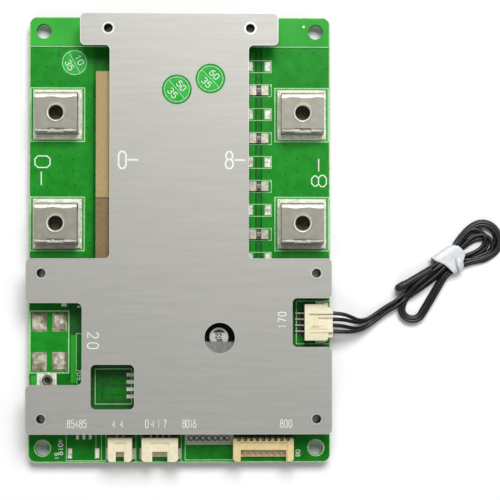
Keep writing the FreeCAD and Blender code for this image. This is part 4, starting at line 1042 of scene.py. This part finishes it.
def draped(name, key, node, lower, upper):
    """A strip between two lines over a curved piece; each line is points (x, y) from its middle."""
    centre = middle_of(node)
    vertices = []
    for (x0, y0), (x1, y1) in zip(lower, upper):
        for k in range(STRIP_POINTS):
            x = centre[0] + x0 + (x1 - x0) * k / (STRIP_POINTS - 1)
            y = centre[1] + y0 + (y1 - y0) * k / (STRIP_POINTS - 1)
            vertices.append((x, y, surface_height(node, x, y) + STRIP_LIFT))
    body_piece(name, key, vertices, sheet_faces(len(lower), STRIP_POINTS))


def seam_line(name, node, points, width):
    """Painted shade of an open seam, drawn over the sheet as short runs."""
    path = []
    for (x0, y0), (x1, y1) in zip(points, points[1:]):
        steps = max(2, int(hypot(x1 - x0, y1 - y0) / 0.35))
        path += [(x0 + (x1 - x0) * k / steps, y0 + (y1 - y0) * k / steps) for k in range(steps)]
    path.append(points[-1])
    left, right = [], []
    for i, (x, y) in enumerate(path):
        (xa, ya), (xb, yb) = path[max(0, i - 1)], path[min(len(path) - 1, i + 1)]
        run = hypot(xb - xa, yb - ya)
        nx, ny = -(yb - ya) / run * width / 2, (xb - xa) / run * width / 2
        left.append((x + nx, y + ny))
        right.append((x - nx, y - ny))
    draped(name, "seam_shade", node, right, left)


BEND_STEPS = 24

# Painted shade of the seams at a terminal's front: name, width, and points (x, y) from the middle of its
# front edge
SEAMS = (("tab", 0.26, ((-2.7, 0.45), (-2.7, 1.6), (2.7, 1.6), (2.7, 0.45))),
         ("left", 0.24, ((-2.7, 0.5), (-5.2, 0.42), (-6.9, 0.7), (-7.3, 0.35))),
         ("right", 0.24, ((2.7, 0.5), (5.0, 0.4), (6.8, 0.72), (7.3, 0.3))))


def terminal_highlights_and_seams():
    """Painted highlight along the bend at the back of each terminal and along its front edge, and painted
    shade in the interlocked seam at its front.
    """
    for number, node in enumerate(TERMINALS):
        low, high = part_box(node)
        half_w, half_l = (high.x - low.x) / 2 / MM, (high.y - low.y) / 2 / MM
        shake = random.Random(40 + number)
        xs = [-half_w + 0.15 + (2 * half_w - 0.3) * i / BEND_STEPS for i in range(BEND_STEPS + 1)]
        wave = shake.uniform(0.0, 6.0)
        lower = [(x, half_l - 1.75 + 0.22 * sin(0.8 * x + wave) + shake.uniform(-0.08, 0.08)) for x in xs]
        upper = [(x, half_l - 0.12) for x in xs]
        draped("painted_highlight_bend_of_" + node, "terminal_highlight", node, lower, upper)
        y = -half_l
        lower = [(x, y + 0.1) for x in xs]
        upper = [(x, y + 1.25 + 0.1 * sin(1.1 * x + wave) + shake.uniform(-0.06, 0.06)) for x in xs]
        draped("painted_highlight_front_of_" + node, "terminal_highlight", node, lower, upper)
        for name, width, points in SEAMS:
            seam_line(name + "_seam_shade_of_" + node, node, [(x, y + up) for x, up in points], width)


# Beads of solder round a terminal's foot, from its middle: (x, y) of both ends and half width
BEADS = (((-7.7, -7.75), (-1.0, -7.75), 0.55), ((0.9, -7.75), (7.7, -7.75), 0.55),
         ((-7.6, 7.75), (-2.4, 7.8), 0.45), ((-1.9, 7.8), (7.6, 7.75), 0.5),
         ((7.7, -7.4), (7.75, -4.9), 0.5), ((7.75, 4.6), (7.7, 7.4), 0.5),
         ((-7.75, -7.2), (-7.7, -4.4), 0.45), ((-7.7, 5.2), (-7.75, 7.4), 0.45))
BEAD_STEPS = 18
BEAD_ARC = 9
BEAD_SINK = 0.08
BEAD_TALL = 0.85


def solder_beads():
    """Where the solder drew up beside each foot it stands in low uneven beads, drawn in the lighter solder
    as painted light.
    """
    for number, node in enumerate(TERMINALS):
        middle_x, middle_y = middle_of(node)
        shake = random.Random(60 + number)
        vertices, faces = [], []
        for (x0, y0), (x1, y1), half in BEADS:
            run = hypot(x1 - x0, y1 - y0)
            along = ((x1 - x0) / run, (y1 - y0) / run)
            faces += sheet_faces(BEAD_STEPS + 1, BEAD_ARC, len(vertices))
            for i in range(BEAD_STEPS + 1):
                share = i / BEAD_STEPS
                end = sin(pi * share) ** 0.3 if 0 < i < BEAD_STEPS else 0.02
                reach = half * end * shake.uniform(0.82, 1.08)
                x = middle_x + x0 + (x1 - x0) * share
                y = middle_y + y0 + (y1 - y0) * share
                base = surface_height("terminal_solder", x, y) - BEAD_SINK
                for k in range(BEAD_ARC):
                    turn = pi * k / (BEAD_ARC - 1)
                    aside = reach * cos(turn)
                    vertices.append((x - along[1] * aside, y + along[0] * aside,
                                     base + BEAD_TALL * reach * sin(turn)))
        body_piece("solder_beads_of_" + node, "lit_solder", vertices, faces)


def shunt_elements():
    """The bare resistive strip in the middle of each shunt, with its printed value."""
    top = top_of("shunt_resistors")
    strips = Layer("shunt_strips", "element", "shunt_metal", top, 0.0, 0.03)
    marks = Layer("shunt_marks", "ink", "shunt_metal", top, 0.03, 0.04)
    for y in SHUNT_YS[1::2]:
        strips.box(25.5, y - 1.6, 27.1, y + 1.6)
        marks.digits("10", 26.3, y, 0.9, 0.12, 90, wide=0.9)
    finish_all(strips, marks)


def can_mark():
    """The dark field and plain figures on the capacitor's top, and painted shade on the board round it."""
    x, y = middle_of("can_capacitor")
    top = top_of("can_capacitor")
    field = Layer("can_dark_field", "moulding", "can_aluminium", top, -0.1, 0.01)
    field.polygon([on_circle(x, y, 2.5, radians(36 + 108 * i / 16)) for i in range(17)])
    marks = Layer("can_figures", "moulding", "can_aluminium", top, -0.1, 0.01)
    marks.digits("22", x - 0.2, y + 0.45, 1.25, 0.3)
    marks.digits("35", x + 0.1, y - 1.35, 1.25, 0.3)
    floor = board_layer("can_painted_shade", "painted_black_shade", 0.0, 0.02)
    floor.ring(x, y, 6.4, 2.9, 40)
    finish_all(field, marks, floor)


board_layers()
spare_pin_rings()
sensor_pin_surrounds()
plug_ribs()
plate_layers()
round_stickers()
standoff_rims()
sheet_joint_shadow()
terminal_hole_shade()
collar_rims()
terminal_highlights_and_seams()
solder_beads()
eyelet_depth()
shunt_elements()
can_mark()


# ---- stage, light and camera
WORLD_STRENGTH = 0.2
FLOOR_HALF = 8.0

# Area lights: name, place, what it points at, width, height and power
LIGHTS = (("key_light", (0.16, 0.66, 1.08), (0.0, -0.02, 0.0), 0.7, 0.55, 15.0),
          ("side_light", (0.75, 0.25, 0.85), (0.0, 0.0, 0.0), 0.6, 0.6, 1.0),
          ("front_light", (-0.1, -0.75, 0.8), (0.0, 0.0, 0.0), 0.8, 0.5, 2.3))

low = min(corner[2] for corner in CAD_BOX)
corners = [(x * FLOOR_HALF, y * FLOOR_HALF, low) for x, y in ((-1, -1), (1, -1), (1, 1), (-1, 1))]
floor = mesh_object("studio_floor", corners, [(0, 1, 2, 3)],
                    finish("studio_floor", (251, 251, 251), 0.9, gloss=(0.05, 0.86, 0.94)))

for name, place, target, width, height, power in LIGHTS:
    light = bpy.data.lights.new(name, "AREA")
    light.shape = "RECTANGLE"
    light.size = width
    light.size_y = height
    light.energy = power
    obj = link(bpy.data.objects.new(name, light))
    obj.location = place
    direction = Vector(target) - Vector(place)
    obj.rotation_euler = direction.to_track_quat("-Z", "Y").to_euler()
world = bpy.context.scene.world or bpy.data.worlds.new("studio_world")
bpy.context.scene.world = world
world.use_nodes = True
set_inputs(world.node_tree.nodes["Background"], {"Color": (1.0, 1.0, 1.0, 1.0), "Strength": WORLD_STRENGTH})

# Camera, fitted to the photograph's outlines of the board, the plate and the terminals
camera = bpy.data.cameras.new("photo_camera")
camera.sensor_fit = "HORIZONTAL"
camera.sensor_width = 36.0
camera.lens = 113.767
camera.shift_x = 0.0049
camera.shift_y = -0.0057
camera.clip_start = 0.01
camera.clip_end = 10.0
obj = link(bpy.data.objects.new("photo_camera", camera))
obj.location = (0.0116085, -0.0172785, 0.530)
obj.rotation_euler = Euler((0.027768, -0.020864, 0.0002), "XYZ")
bpy.context.scene.camera = obj
bpy.context.scene.view_settings.view_transform = "Standard"
